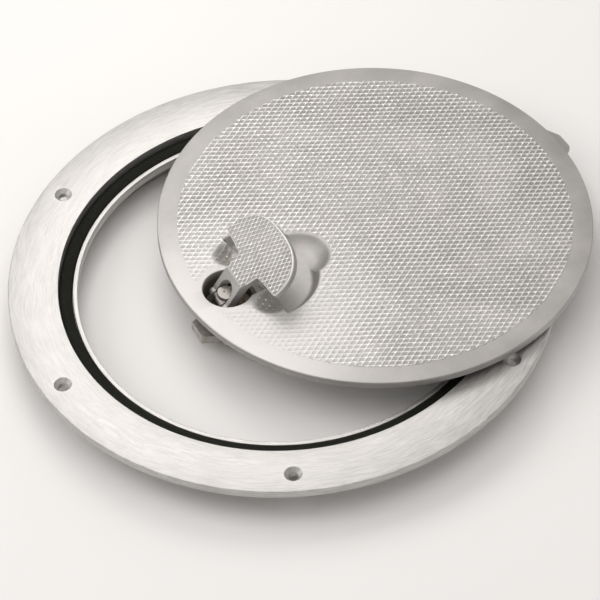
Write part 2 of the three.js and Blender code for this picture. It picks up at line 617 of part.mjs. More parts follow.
function handleLever() {
  const top = -HANDLE_TOP_DEPTH;
  const bottom = top - HANDLE_THICKNESS;
  const stemX = FORK_CRANK_X - 1;
  const head = plate(new THREE.Shape([
    new THREE.Vector2(stemX, -FORK_HALF_WIDTH), new THREE.Vector2(HANDLE_NOTCH.x, -HANDLE_NOTCH.y),
    new THREE.Vector2(HANDLE_TIP.x, -HANDLE_TIP.y), ...headFront(36),
    new THREE.Vector2(HANDLE_TIP.x, HANDLE_TIP.y), new THREE.Vector2(HANDLE_NOTCH.x, HANDLE_NOTCH.y),
    new THREE.Vector2(stemX, FORK_HALF_WIDTH),
  ]), top, bottom);
  const rise = (FORK_CRANK_X - PIVOT_X) * Math.tan(rad(FORK_DROP_DEG));
  const arms = slab([
    [FORK_CRANK_X, top], [PIVOT_X, top - rise], [PIVOT_X, -PIVOT_DEPTH - FORK_EYE_RADIUS],
    [FORK_CRANK_X - 4, bottom - 2.4], [FORK_CRANK_X + 4, bottom],
    [FORK_CRANK_X + 4, bottom + 1], [FORK_CRANK_X + 1, top],
  ], -FORK_HALF_WIDTH, FORK_HALF_WIDTH);
  const eyes = crossRod(FORK_EYE_RADIUS, PIVOT_X, -PIVOT_DEPTH, -FORK_HALF_WIDTH, FORK_HALF_WIDTH, 32);
  const gapCentre = FORK_GAP_END - FORK_GAP_HALF_WIDTH;
  const gap = box(-30, gapCentre, -FORK_GAP_HALF_WIDTH, FORK_GAP_HALF_WIDTH, -30, 10)
    .add(rod(FORK_GAP_HALF_WIDTH, 10, -30, gapCentre, 0, 40));
  const lever = head.add(arms).add(eyes).subtract(gap)
    .subtract(crossRod(PIN_RADIUS + GAP, PIVOT_X, -PIVOT_DEPTH, -20, 20));
  return piece("handle_lever", lever, "castAluminium");
}

// ---- assembly ----------------------------------------------------------------------------------

function group(children, place) {
  const holder = new THREE.Group();
  holder.add(...children);
  if (place) place(holder);
  return holder;
}

// The handle turns about its pin, which lies along Y.
const handle = group([group([handleLever()], (g) => g.position.set(-PIVOT_X, 0, PIVOT_DEPTH))], (g) => {
  g.position.set(PIVOT_X, 0, -PIVOT_DEPTH);
  g.rotation.y = -rad(HANDLE_RAISE_DEG);
});

const latch = group([
  latchShaft(), leverHub(), pivotPin(), rollPin(), springCoil(), thrustWasher(),
  oRing("upper_o_ring", O_RING_DEPTHS[0]), oRing("lower_o_ring", O_RING_DEPTHS[1]), springWasher(),
  latchDog(), dogWasher(), lockNut(), handle,
], (g) => {
  g.position.x = -SHAFT_OFFSET;
  g.rotation.z = rad(LATCH_TURN_DEG);
});

const bearing = group([shaftBush(), bushGasket(), bushNut()], (g) => g.position.setX(-SHAFT_OFFSET));

const turnedLid = group([
  lidPlate(), stopPin("stop_pin_locked", STOP_PIN_ANGLES_DEG.locked),
  stopPin("stop_pin_open", STOP_PIN_ANGLES_DEG.open), bearing, latch,
], (g) => {
  g.rotation.z = rad(LID_TURN_DEG);
});

const lid = group([turnedLid], (g) => {
  g.position.set(LID_SHIFT, 0, LID_LIFT);
  g.rotation.y = rad(LID_TILT_DEG);
});

const hatch = group([frameRing(), frameSeal(), lid], (g) => g.position.setZ(FRAME_HEIGHT));

// The origin goes to the middle of the whole object's box.
const extent = new THREE.Box3().setFromObject(hatch, true);
hatch.position.x = -(extent.min.x + extent.max.x) / 2;

export default group([hatch]);
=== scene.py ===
"""The opened deck hatch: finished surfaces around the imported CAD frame, on a pale studio floor.

Pieces are drawn in millimetres about one of three axes: the frame's, from the flange's top face, and the
lid's and the latch shaft's, from the lid's top face. The lever is drawn folded flat. Each piece is made as a
closed mesh, is placed by finished() and rides on one of the frame's bodies.
"""

import json
import math

import bpy
import numpy as np
from mathutils import Matrix, Vector


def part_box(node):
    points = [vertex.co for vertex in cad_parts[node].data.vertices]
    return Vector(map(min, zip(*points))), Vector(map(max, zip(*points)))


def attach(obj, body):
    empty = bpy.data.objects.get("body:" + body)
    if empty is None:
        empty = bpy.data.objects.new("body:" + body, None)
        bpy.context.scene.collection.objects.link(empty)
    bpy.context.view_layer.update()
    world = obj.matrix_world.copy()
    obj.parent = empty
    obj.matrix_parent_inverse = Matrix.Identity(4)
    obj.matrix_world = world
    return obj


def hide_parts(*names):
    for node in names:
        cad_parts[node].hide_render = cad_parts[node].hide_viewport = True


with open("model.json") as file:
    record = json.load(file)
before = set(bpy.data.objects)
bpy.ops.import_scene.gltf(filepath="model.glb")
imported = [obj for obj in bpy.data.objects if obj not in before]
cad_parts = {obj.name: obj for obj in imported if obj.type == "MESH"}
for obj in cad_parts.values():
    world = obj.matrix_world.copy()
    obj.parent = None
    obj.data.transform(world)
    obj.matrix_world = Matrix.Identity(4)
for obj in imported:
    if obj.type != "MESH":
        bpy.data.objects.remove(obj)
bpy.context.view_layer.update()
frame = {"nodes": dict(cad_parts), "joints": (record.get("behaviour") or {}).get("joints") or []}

MM = 0.001
# Edges that turn by more degrees than this are shaded sharp.
SOFT_EDGE_DEG = 38
RING_SOFT_EDGE_DEG = 15

# ---- sizes, in millimetres ----

# Frame: depths below the flange's top face.
FLANGE_RADIUS = 192.5
FLANGE_THICKNESS = 6.4
FRAME_HEIGHT = 29.7
RECESS_RADIUS = 157.4
LIP_DEPTH = 6.5
LIP_OUTER_RADIUS = 147.5
OPENING_RADIUS = 144.2
GROOVE_DEPTH = 10.0
LEDGE_UNDERSIDE_DEPTH = 13.5
COLLAR_INNER_RADIUS = 154.8
COLLAR_OUTER_RADIUS = 160.0
SCREW_COUNT = 6
SCREW_CIRCLE_RADIUS = 177.5
SCREW_HOLE_RADIUS = 3.4
SCREW_SINK_RADIUS = 6.25
STRIKE_INNER_RADIUS = 144.6
STRIKE_HALF_ANGLE = 8.0
STRIKE_BOTTOM_DEPTH = 29.3
LUG_POCKET_RADIUS = 161.2
LUG_POCKET_DEPTHS = (2.3, 6.6)
LUG_POCKET_HALF_WIDTH = 13.0

# Lid: depths below its top face.
LID_RADIUS = 153.8
LID_THICKNESS = 5.8
TREAD_RADIUS = 139.6
LUG_REACH = 160.2
LUG_HALF_WIDTH = 6.6
LUG_ANGLE_DEG = -2.65
SHAFT_OFFSET = 122.7
LID_TURN_DEG = 0.5
WELL_RADIUS = 17.6
WELL_DEPTH = 19.0
BOSS_RADIUS = 21.2
BOSS_DEPTH = 22.5
POCKET_DEPTH = 7.8
POCKET_WALL = 3.4
HEAD_POCKET_CENTRE = 25.8
HEAD_POCKET_RADIUS = 41.5
HEAD_POCKET_CHORD = 22.5
SCOOP_CENTRE = 59.9
SCOOP_RADIUS = 19.9
STEM_SLOT_HALF_WIDTH = 13.9
STEM_SLOT_DEPTH = 11.0
DIP = {"x": 20.8, "y": 26.6, "rx": 15.6, "ry": 12.8, "depth": 6.2}
# The painted sheen on the lid's face beside the latch: its centre and how far it reaches.
SHEEN_SPOT = (-125.0, -30.0)
SHEEN_REACH = 115.0
STOP_PIN_CIRCLE_RADIUS = 19.5
STOP_PIN_RADIUS = 2.2
STOP_PIN_ANGLES_DEG = (233.4, 36.6)

# Tread: two families of straight ridges, each at this angle to the line from the latch to the lug.
TREAD_ANGLE_DEG = 30.6
LID_TREAD = {"pitch": 3.95, "height": 0.42}
LEVER_TREAD = {"pitch": 3.1, "height": 0.55}

# Lever, folded flat: x from the shaft's axis towards the lug.
PIVOT = (-6.2, -9.5)
LEVER_RAISE_DEG = 34.3
LEVER_TOP = -0.3
LEVER_THICKNESS = 6.0
LEVER_REACH = 59.1
LEVER_HEAD_CENTRE = 30.0
LEVER_HEAD_HALF_WIDTH = 36.1
LEVER_HEAD_ROUNDNESS = 2.48
LEVER_NOTCH = (26.1, 13.7)
LEVER_TIP = (28.3, 35.0)
FORK_HALF_WIDTH = 11.0
FORK_GAP_HALF_WIDTH = 7.0
FORK_GAP_END = 8.5
FORK_CRANK_X = 13.0
FORK_DROP_DEG = 21.0
FORK_EYE_RADIUS = 3.2

# Latch, on the shaft's axis: levels are measured from the lid's top face.
GAP = 0.3
LATCH_TURN_DEG = -5.4
PIN_RADIUS = 1.6
PIN_HEAD_RADIUS = 2.3
SHAFT_RADIUS = 6.2
SHAFT_HOLE_RADIUS = SHAFT_RADIUS + GAP
SHAFT_SQUARE_HALF_WIDTH = 4.5
STUD_HOLE_RADIUS = 5.2
NECK_RADIUS = 3.0
NECK_TOP = -6.9
HUB_RADIUS = 7.4
HUB_HALF_WIDTH = 6.0
HUB_TOP = -3.2
HUB_STEP_X = 2.4
HUB_STEP_TOP = -5.6
HUB_BOTTOM = -14.2
EAR_SIDE_Y = 2.2
ROLL_PIN_DEPTH = 12.1
ROLL_PIN_HOLE_RADIUS = 1.8
COIL_RADIUS = 2.2
COIL_WIRE = 0.5
COIL_TURNS = 2.5
DOG_TOP = -30.0
DOG_BOTTOM = -37.0
DOG_HUB_TOP = -29.0
DOG_HUB_RADIUS = 14.0
DOG_REACH = 25.2
DOG_TIP_HALF_WIDTH = 8.0
DOG_TAPER_DEG = 20.0
DOG_WASHER_RADIUS = 13.0
NUT_ACROSS_FLATS = 22.0
SHAFT_END = -44.3

# Bush and its neighbours on the shaft's axis, from the well's floor down to below the boss.
GASKET_TOP = -WELL_DEPTH + 1.3
GASKET_RADIUS = 12.0
BUSH_TOP = GASKET_TOP + 2.1
BUSH_RADIUS = 8.2
BUSH_HOLE_RADIUS = BUSH_RADIUS + GAP
BUSH_HEAD_RADIUS = 11.0
BUSH_HEAD_THICKNESS = 1.8
THRUST_WASHER_TOP = BUSH_TOP + 1.1
THRUST_WASHER_RADIUS = 10.5
BUSH_NUT_BOTTOM = -BOSS_DEPTH - 4.3
BUSH_NUT_ACROSS_FLATS = 24.0
BUSH_BOTTOM = BUSH_NUT_BOTTOM - 0.4
SPRING_WASHER_RADIUS = 10.4

# ---- places ----


def joint(name):
    return next(j for j in frame["joints"] if j["name"] == name)


def shaft_place():
    """The shaft's axis at the lid's top face: x towards the lug, z out of the lid."""
    z = -Vector(joint("latch_turn")["axis"]).normalized()
    y = Vector((0, 1, 0))
    x = y.cross(z)
    place = Matrix((x, y, z)).transposed().to_4x4()
    place.translation = Vector(joint("latch_turn")["pos_m"])
    return place @ turn("Z", LID_TURN_DEG)


def turn(axis, degrees):
    return Matrix.Rotation(math.radians(degrees), 4, axis)


ring_low, ring_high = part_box("frame_ring")
AT_RING = Matrix.Translation(((ring_low.x + ring_high.x) / 2, 0, ring_high.z))
AT_SHAFT = shaft_place()
AT_LID = AT_SHAFT @ Matrix.Translation((SHAFT_OFFSET * MM, 0, 0))
AT_LATCH = AT_SHAFT @ turn("Z", LATCH_TURN_DEG)
TO_PIVOT = Matrix.Translation((PIVOT[0] * MM, 0, PIVOT[1] * MM))
AT_LEVER = AT_LATCH @ TO_PIVOT @ turn("Y", -LEVER_RAISE_DEG) @ TO_PIVOT.inverted()

# ---- outlines ----


def unit(v):
    return v / max(np.linalg.norm(v), 1e-12)


def fillet(points, radius, steps=5):
    """A closed outline with its corners rounded: one radius for all, or one for each (0 keeps it sharp)."""
    points = [np.array(p, float) for p in points]
    radii = radius if isinstance(radius, (list, tuple)) else [radius] * len(points)
    out = []
    for i, p in enumerate(points):
        a, b = points[i - 1] - p, points[(i + 1) % len(points)] - p
        ua, ub = unit(a), unit(b)
        half = math.acos(max(-1.0, min(1.0, float(ua @ ub)))) / 2
        if radii[i] <= 0 or half > 1.5:
            out.append(p)
            continue
        reach = min(radii[i] / math.tan(half), 0.48 * np.linalg.norm(a), 0.48 * np.linalg.norm(b))
        r = reach * math.tan(half)
        centre = p + unit(ua + ub) * r / math.sin(half)
        start, end = p + ua * reach - centre, p + ub * reach - centre
        sweep = math.pi - 2 * half
        for k in range(steps + 1):
            t = k / steps
            arm = start * math.sin((1 - t) * sweep) + end * math.sin(t * sweep)
            out.append(centre + arm / math.sin(sweep))
    return np.array(out)


def arc(cx, cy, radius, start_deg, end_deg, steps):
    angles = np.radians(np.linspace(start_deg, end_deg, steps + 1))
    return np.c_[cx + radius * np.cos(angles), cy + radius * np.sin(angles)]


def inset(loop, distance):
    """A counter-clockwise outline moved inwards (or outwards, for a negative distance)."""
    before = loop - np.roll(loop, 1, axis=0)
    after = np.roll(loop, -1, axis=0) - loop
    before /= np.linalg.norm(before, axis=1, keepdims=True)
    after /= np.linalg.norm(after, axis=1, keepdims=True)
    normal = np.c_[-(before + after)[:, 1], (before + after)[:, 0]]
    length = np.linalg.norm(normal, axis=1, keepdims=True)
    return loop + distance * normal / length * (2 / length).clip(max=1.6)


# ---- solids: every maker returns an object that holds a closed mesh in millimetres ----


def solid(points, faces):
    mesh = bpy.data.meshes.new("solid")
    mesh.from_pydata([tuple(p) for p in np.asarray(points, float)], [], faces)
    mesh.validate()
    obj = bpy.data.objects.new("solid", mesh)
    bpy.context.scene.collection.objects.link(obj)
    return obj


def turned(profile, segments=96):
    """A body of revolution about z from a closed (r, z) outline that runs counter-clockwise."""
    profile = np.array(profile, float)
    following = np.roll(profile, -1, axis=0)
    if np.sum(profile[:, 0] * following[:, 1] - following[:, 0] * profile[:, 1]) < 0:
        profile = profile[::-1]
    angles = np.linspace(0, 2 * math.pi, segments, endpoint=False)
    points, index = [], []
    for r, z in profile:
        if r < 1e-6:
            index.append([len(points)] * segments)
            points.append((0, 0, z))
        else:
            index.append(list(range(len(points), len(points) + segments)))
            points.extend((r * math.cos(a), r * math.sin(a), z) for a in angles)
    faces = []
    for k in range(len(profile)):
        low, high = index[k], index[(k + 1) % len(profile)]
        for i in range(segments):
            j = (i + 1) % segments
            corners = list(dict.fromkeys((low[i], low[j], high[j], high[i])))
            if len(corners) > 2:
                faces.append(corners)
    return solid(points, faces)


def loft(levels):
    """A closed body through counter-clockwise outlines of equal length, from the highest z down."""
    count = len(levels[0][0])
    points = np.concatenate([np.c_[loop, np.full(count, z)] for loop, z in levels])
    faces = [list(range(count))]
    for k in range(len(levels) - 1):
        for i in range(count):
            j = (i + 1) % count
            faces.append([k * count + i, (k + 1) * count + i, (k + 1) * count + j, k * count + j])
    last = (len(levels) - 1) * count
    faces.append(list(range(last + count - 1, last - 1, -1)))
    return solid(points, faces)


def quarter_round(loop, level, radius, is_top):
    """Outlines that round a plate's edge, from the higher one down."""
    if not radius:
        return [(loop, level)]
    levels = []
    steps = 3
    for k in range(steps + 1):
        a = math.pi / 2 * k / steps
        side, drop = (1 - math.sin(a), 1 - math.cos(a)) if is_top else (1 - math.cos(a), math.sin(a) - 1)
        levels.append((inset(loop, radius * side), level - radius * drop))
    return levels


def plate(loop, top, bottom, top_edge=0.0, bottom_edge=0.0):
    """A plate with rounded top and bottom edges."""
    loop = np.array(loop, float)
    return loft(quarter_round(loop, top, top_edge, True) + quarter_round(loop, bottom, bottom_edge, False))


def across(obj, x=0.0, z=0.0):
    """A body made about z, laid along y at (x, z)."""
    obj.data.transform(Matrix.Translation((x, 0, z)) @ Matrix.Rotation(math.pi / 2, 4, "X"))
    return obj


def moved(obj, x=0.0, y=0.0, z=0.0):
    obj.data.transform(Matrix.Translation((x, y, z)))
    return obj


def rod(radius, top, bottom, x=0.0, y=0.0, edge=0.0, segments=48):
    profile = [(0, bottom), (radius, bottom), (radius, top), (0, top)]
    return moved(turned(fillet(profile, [0, edge, edge, 0], 3), segments), x, y)


def box(x0, x1, y0, y1, z0, z1):
    return plate([(x0, y0), (x1, y0), (x1, y1), (x0, y1)], z1, z0)


def side_plate(outline, y0, y1, edge):
    """A plate with an (x, z) outline between two y values."""
    obj = plate(outline, -y0, -y1, edge, edge)
    obj.data.transform(Matrix.Rotation(math.pi / 2, 4, "X"))
    return obj


def wire(path, radius, sides=12):
    """A round wire along a path, closed at both ends with small domes."""
    path = np.array(path, float)
    tangents = np.gradient(path, axis=0)
    tangents /= np.linalg.norm(tangents, axis=1, keepdims=True)
    normal = unit(np.cross(tangents[0], (0.3, 0.5, 0.8)))
    rings = []
    for p, t in zip(path, tangents):
        normal = unit(normal - t * (normal @ t))
        rings.append((p, t, normal, np.cross(t, normal)))
    caps = [(0.05, -1.0), (0.5, -0.87), (0.87, -0.5)]
    stations = [(rings[0], w, d) for w, d in caps]
    stations += [(r, 1.0, 0.0) for r in rings]
    stations += [(rings[-1], w, -d) for w, d in reversed(caps)]
    points = []
    angles = np.linspace(0, 2 * math.pi, sides, endpoint=False)
    for (p, t, n, b), width, shift in stations:
        for a in angles:
            points.append(p + radius * (shift * t + width * (math.cos(a) * n + math.sin(a) * b)))
    count = len(stations)
    faces = [list(range(sides - 1, -1, -1))]
    for k in range(count - 1):
        for i in range(sides):
            j = (i + 1) % sides
            faces.append([k * sides + i, k * sides + j, (k + 1) * sides + j, (k + 1) * sides + i])
    faces.append(list(range((count - 1) * sides, count * sides)))
    return solid(points, faces)


def combine(base, joins=(), cuts=(), keeps=()):
    """base with the joins added, the cuts taken out and only what lies inside the keeps left."""
    tools = [(t, "UNION") for t in joins] + [(t, "DIFFERENCE") for t in cuts]
    tools += [(t, "INTERSECT") for t in keeps]
    for tool, operation in tools:
        modifier = base.modifiers.new("cut", "BOOLEAN")
        modifier.operation = operation
        modifier.solver = "MANIFOLD"
        modifier.object = tool
    graph = bpy.context.evaluated_depsgraph_get()
    mesh = bpy.data.meshes.new_from_object(base.evaluated_get(graph))
    base.modifiers.clear()
    old, base.data = base.data, mesh
    bpy.data.meshes.remove(old)
    for tool, _ in tools:
        mesh = tool.data
        bpy.data.objects.remove(tool)
        bpy.data.meshes.remove(mesh)
    return base


def softened(obj, voxel, rounds):
    """The body remeshed and smoothed, so that every edge is rounded as on a casting or a forging."""
    remesh = obj.modifiers.new("remesh", "REMESH")
    remesh.mode = "VOXEL"
    remesh.voxel_size = voxel
    smooth = obj.modifiers.new("smooth", "SMOOTH")
    smooth.factor = 0.5
    smooth.iterations = rounds
    return combine(obj)


def finished(obj, name, place, body, nodes, material, sharp_deg=SOFT_EDGE_DEG):
    """The piece in its place, with smooth shading, its material, and the CAD nodes it stands for."""
    obj.name = obj.data.name = name
    mesh = obj.data
    mesh.transform(Matrix.Scale(MM, 4))
    mesh.shade_smooth()
    mesh.set_sharp_from_angle(angle=math.radians(sharp_deg))
    mesh.materials.clear()
    mesh.materials.append(material)
    obj.matrix_world = place
    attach(obj, body)
    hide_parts(*nodes)


# ---- tread ----

# A ridge's section: how far from its line, in pitches, and the share of the ridge's height there.
RIDGE_TOP = 0.07
RIDGE_FOOT = 0.17
RIDGE_SECTION = ((0.0, 1.0), (RIDGE_TOP, 0.9), (RIDGE_FOOT, 0.0), (0.5, 0.0))
GRID_STEPS = (-RIDGE_FOOT, -RIDGE_TOP, RIDGE_TOP, RIDGE_FOOT, 0.5)


def ridge(t):
    """The share of full height of the nearest ridge, t pitches across the lines."""
    distance = np.abs(t - np.round(t))
    return np.interp(distance, [d for d, _ in RIDGE_SECTION], [h for _, h in RIDGE_SECTION])


def rolling(x, y, wavelength, seed):
    """A smooth random field between 0 and 1, with features about one wavelength wide."""
    rng = np.random.default_rng(seed)
    total = np.zeros_like(x)
    for _ in range(14):
        direction = rng.uniform(0, 2 * math.pi)
        size = wavelength * rng.uniform(0.6, 1.6)
        phase = rng.uniform(0, 2 * math.pi)
        total += np.cos(2 * math.pi * (x * math.cos(direction) + y * math.sin(direction)) / size + phase)
    return 0.5 + 0.5 * np.tanh(total / 3.5)


def tread_slab(tread, reach, inside, surface, thickness):
    """A slab with the ridges on its top, on a grid that follows both families of ridges.

    inside(x, y) says which grid faces to keep, surface(x, y) gives the ground and each family's strength.
    """
    s, c = math.sin(math.radians(TREAD_ANGLE_DEG)), math.cos(math.radians(TREAD_ANGLE_DEG))
    cells = int(reach / tread["pitch"]) + 2
    steps = np.array([n + t for n in range(-cells, cells + 1) for t in GRID_STEPS])
    a, b = np.meshgrid(steps, steps, indexing="ij")
    x = tread["pitch"] * (b - a) / (2 * s)
    y = tread["pitch"] * (a + b) / (2 * c)
    ground, first, second = surface(x, y)
    top = ground + tread["height"] * np.maximum(first * ridge(a), second * ridge(b))
    n = len(steps)
    ids = np.arange(n * n).reshape(n, n)
    quads = np.stack([ids[:-1, :-1], ids[:-1, 1:], ids[1:, 1:], ids[1:, :-1]], axis=-1).reshape(-1, 4)
    flat_x, flat_y = x.ravel(), y.ravel()
    quads = quads[inside(flat_x[quads].mean(1), flat_y[quads].mean(1))]
    edges = np.concatenate([quads[:, [k, (k + 1) % 4]] for k in range(4)])
    key = edges[:, 0].astype(np.int64) * n * n + edges[:, 1]
    reverse = edges[:, 1].astype(np.int64) * n * n + edges[:, 0]
    rim = edges[~np.isin(key, reverse)]
    used = np.unique(quads)
    number = np.full(n * n, -1)
    number[used] = np.arange(len(used))
    count = len(used)
    points = np.c_[flat_x[used], flat_y[used], top.ravel()[used]]
    below = np.c_[flat_x[used], flat_y[used], ground.ravel()[used] - thickness]
    upper, rim = number[quads], number[rim]
    walls = np.c_[rim[:, 1], rim[:, 0], rim[:, 0] + count, rim[:, 1] + count]
    faces = np.concatenate([upper, upper[:, ::-1] + count, walls])
    return solid(np.concatenate([points, below]), faces.tolist())


# ---- material nodes ----


class Nodes:
    """Short names for building a material's node tree."""

    def __init__(self, name):
        self.material = bpy.data.materials.new(name)
        self.material.use_nodes = True
        self.tree = self.material.node_tree
        self.bsdf = self.tree.nodes["Principled BSDF"]
        self.coordinates = self.add("ShaderNodeTexCoord").outputs["Object"]

    def add(self, kind, inputs=(), **settings):
        node = self.tree.nodes.new(kind)
        for key, value in settings.items():
            setattr(node, key, value)
        for key, value in dict(inputs).items():
            self.link(value, node.inputs[key])
        return node

    def link(self, value, socket):
        if isinstance(value, bpy.types.NodeSocket):
            self.tree.links.new(value, socket)
        else:
            socket.default_value = value

    def math(self, operation, a, b=0.0):
        return self.add("ShaderNodeMath", {0: a, 1: b}, operation=operation).outputs[0]

    def ramp(self, value, low, high, to_low=0.0, to_high=1.0):
        node = self.add(
            "ShaderNodeMapRange",
            {"Value": value, "From Min": low, "From Max": high, "To Min": to_low, "To Max": to_high},
            interpolation_type="SMOOTHSTEP",
        )
        return node.outputs["Result"]

    def mix(self, factor, a, b):
        node = self.add("ShaderNodeMix", data_type="RGBA")
        self.link(factor, node.inputs[0])
        self.link(a, node.inputs[6])
        self.link(b, node.inputs[7])
        return node.outputs[2]

    def noise(self, per_metre, detail=3.0, vector=None, roughness=0.55, distortion=0.0):
        node = self.add("ShaderNodeTexNoise", {
            "Vector": vector or self.coordinates, "Scale": per_metre, "Detail": detail,
            "Roughness": roughness, "Distortion": distortion,
        })
        return node.outputs["Fac"]

    def split(self):
        return self.add("ShaderNodeSeparateXYZ", {0: self.coordinates}).outputs

    def vector(self, x, y, z):
        return self.add("ShaderNodeCombineXYZ", {0: x, 1: y, 2: z}).outputs[0]

    def bump(self, height, distance, strength=1.0, normal=None):
        inputs = {"Height": height, "Distance": distance, "Strength": strength}
        if normal is not None:
            inputs["Normal"] = normal
        return self.add("ShaderNodeBump", inputs).outputs["Normal"]

    def finish(self, colour, roughness, metallic, normal, **extra):
        self.link(colour, self.bsdf.inputs["Base Color"])
        self.link(roughness, self.bsdf.inputs["Roughness"])
        self.link(metallic, self.bsdf.inputs["Metallic"])
        self.link(normal, self.bsdf.inputs["Normal"])
        for key, value in extra.items():
            self.link(value, self.bsdf.inputs[key.replace("_", " ")])
        return self.material


def grey(value, warmth):
    return (value * (1 + warmth), value, value * (1 - 1.3 * warmth), 1.0)


def tread_pattern(n, tread):
    """Two masks of a tread's lattice: 1 where its ridges cross, and 1 in the cells between them."""
    x, y, _ = n.split()
    pitch = tread["pitch"] * MM
    s, c = math.sin(math.radians(TREAD_ANGLE_DEG)), math.cos(math.radians(TREAD_ANGLE_DEG))
    sideways, along = n.math("MULTIPLY", x, s / pitch), n.math("MULTIPLY", y, c / pitch)
    from_first = n.math("PINGPONG", n.math("SUBTRACT", along, sideways), 0.5)
    from_second = n.math("PINGPONG", n.math("ADD", along, sideways), 0.5)
    on_first, on_second = (n.ramp(t, 0.08, 0.19, 1.0, 0.0) for t in (from_first, from_second))
    dots = n.math("MULTIPLY", on_first, on_second)
    cells = n.math("MULTIPLY", n.ramp(from_first, 0.12, 0.26), n.ramp(from_second, 0.12, 0.26))
    return dots, cells


def squared_distance(n, x0, y0):
    """The distance, in metres and squared, across the face from a point given in millimetres."""
    x, y, _ = n.split()
    dx, dy = n.math("SUBTRACT", x, x0 * MM), n.math("SUBTRACT", y, y0 * MM)
    return n.math("ADD", n.math("MULTIPLY", dx, dx), n.math("MULTIPLY", dy, dy))


def painted_sheen(n):
    """1 where a painted sheen lightens the lid's face beside the latch, fading to 0 further off and in the
    pockets.
    """
    near = n.ramp(squared_distance(n, *SHEEN_SPOT), 0.02 ** 2, (SHEEN_REACH * MM) ** 2, 1.0, 0.0)
    return n.math("MULTIPLY", near, n.ramp(n.split()[2], -1.8 * MM, -0.3 * MM))


def on_lid_tread(n):
    """1 inside the lid's treaded circle, 0 on its plain rim, and little where the painted sheen lies."""
    inside = n.math("LESS_THAN", squared_distance(n, 0, 0), (TREAD_RADIUS * MM) ** 2)
    return n.math("MULTIPLY", inside, n.math("SUBTRACT", 1.0, n.math("MULTIPLY", painted_sheen(n), 0.85)))


def in_dips(n):
    """1 inside the lid's two dips for the fingers, 0 outside them and in the pocket they open into."""
    x, y, _ = n.split()
    across_dip = n.math("DIVIDE", n.math("ADD", x, (SHAFT_OFFSET - DIP["x"]) * MM), DIP["rx"] * MM)
    along_dip = n.math("DIVIDE", n.math("SUBTRACT", n.math("ABSOLUTE", y), DIP["y"] * MM), DIP["ry"] * MM)
    across_square, along_square = (n.math("MULTIPLY", d, d) for d in (across_dip, along_dip))
    squares = n.math("ADD", across_square, along_square)
    before_pocket = n.math("LESS_THAN", x, (HEAD_POCKET_CHORD - 1 - SHAFT_OFFSET) * MM)
    return n.math("MULTIPLY", before_pocket, n.ramp(squares, 0.3, 0.9, 1.0, 0.0))


def well_dirt_and_shade(n):
    """How dark the lid is painted: 0 at its face and away from the latch, up to 1 deep in the latch's well,
    partly for dirt and partly as painted shade.
    """
    z = n.split()[2]
    beside_shaft = n.math("LESS_THAN", squared_distance(n, -SHAFT_OFFSET, 0), ((WELL_RADIUS + 3) * MM) ** 2)
    return n.math("MULTIPLY", beside_shaft, n.ramp(z, -8 * MM, -0.5 * MM, 1.0, 0.0))


def painted_edge_highlight(n, top):
    """1 round a casting's rounded top edge, where a painted highlight brightens it."""
    z = n.split()[2]
    above = n.ramp(z, (top - 1.6) * MM, (top - 1.0) * MM)
    below = n.ramp(z, (top - 0.25) * MM, (top - 0.08) * MM, 1.0, 0.0)
    beyond_fork = n.math("GREATER_THAN", n.split()[0], (FORK_CRANK_X + 4) * MM)
    return n.math("MULTIPLY", beyond_fork, n.math("MULTIPLY", above, below))


def cast_colour(n, grain, blotch):
    """Sand-cast aluminium's own colour: soft blotches, a slightly pink tint and fine dark grain."""
    base = n.mix(n.ramp(blotch, 0.35, 0.68), grey(0.4, 0.025), grey(0.52, 0.02))
    base = n.mix(n.ramp(n.noise(34, 3), 0.45, 0.75, 0.0, 0.35), base, (0.58, 0.52, 0.51, 1))
    return n.mix(n.ramp(grain, 0.3, 0.7, 0.0, 0.35), base, grey(0.34, 0.03))


def shaded_cells(n, cells, ground_level, contrast):
    """How much painted shade darkens the cells between the ridges, in patches."""
    at_top = n.math("GREATER_THAN", n.split()[2], (ground_level - 0.15) * MM)
    patches = n.ramp(n.noise(11, 2), 0.35, 0.65, 0.08 * contrast, 0.5 * contrast)
    return n.math("MULTIPLY", n.math("MULTIPLY", cells, at_top), patches)


def rubbed_ridges(n, dots, ground_level, tread):
    """How bright the ridges are rubbed: most at their crossings, and unevenly along them."""
    low, high = (ground_level + share * tread["height"] for share in (0.2, 0.85))
    on_top = n.ramp(n.split()[2], low * MM, high * MM)
    brightened = n.math("MULTIPLY", on_top, n.math("ADD", 0.7, n.math("MULTIPLY", dots, 0.3)))
    return n.math("MULTIPLY", brightened, n.ramp(n.noise(420, 3), 0.35, 0.6, 0.3, 0.9))


def finish_casting(n, base, brightened, grain, blotch):
    """The material's colour, roughness and fine pits, from its base colour and its brightened places: rubbed
    wear, and on the lever a painted highlight too.
    """
    colour = n.mix(brightened, base, grey(0.94, 0.01))
    rough = n.math("ADD", n.ramp(blotch, 0.3, 0.7, 0.5, 0.6), n.ramp(grain, 0.3, 0.7, -0.05, 0.05))
    rough = n.math("SUBTRACT", rough, n.math("MULTIPLY", brightened, 0.18))
    normal = n.bump(n.noise(520, 3), 0.00022, 0.5)
    return n.finish(colour, rough, 0.8, n.bump(grain, 0.00009, 0.6, normal))


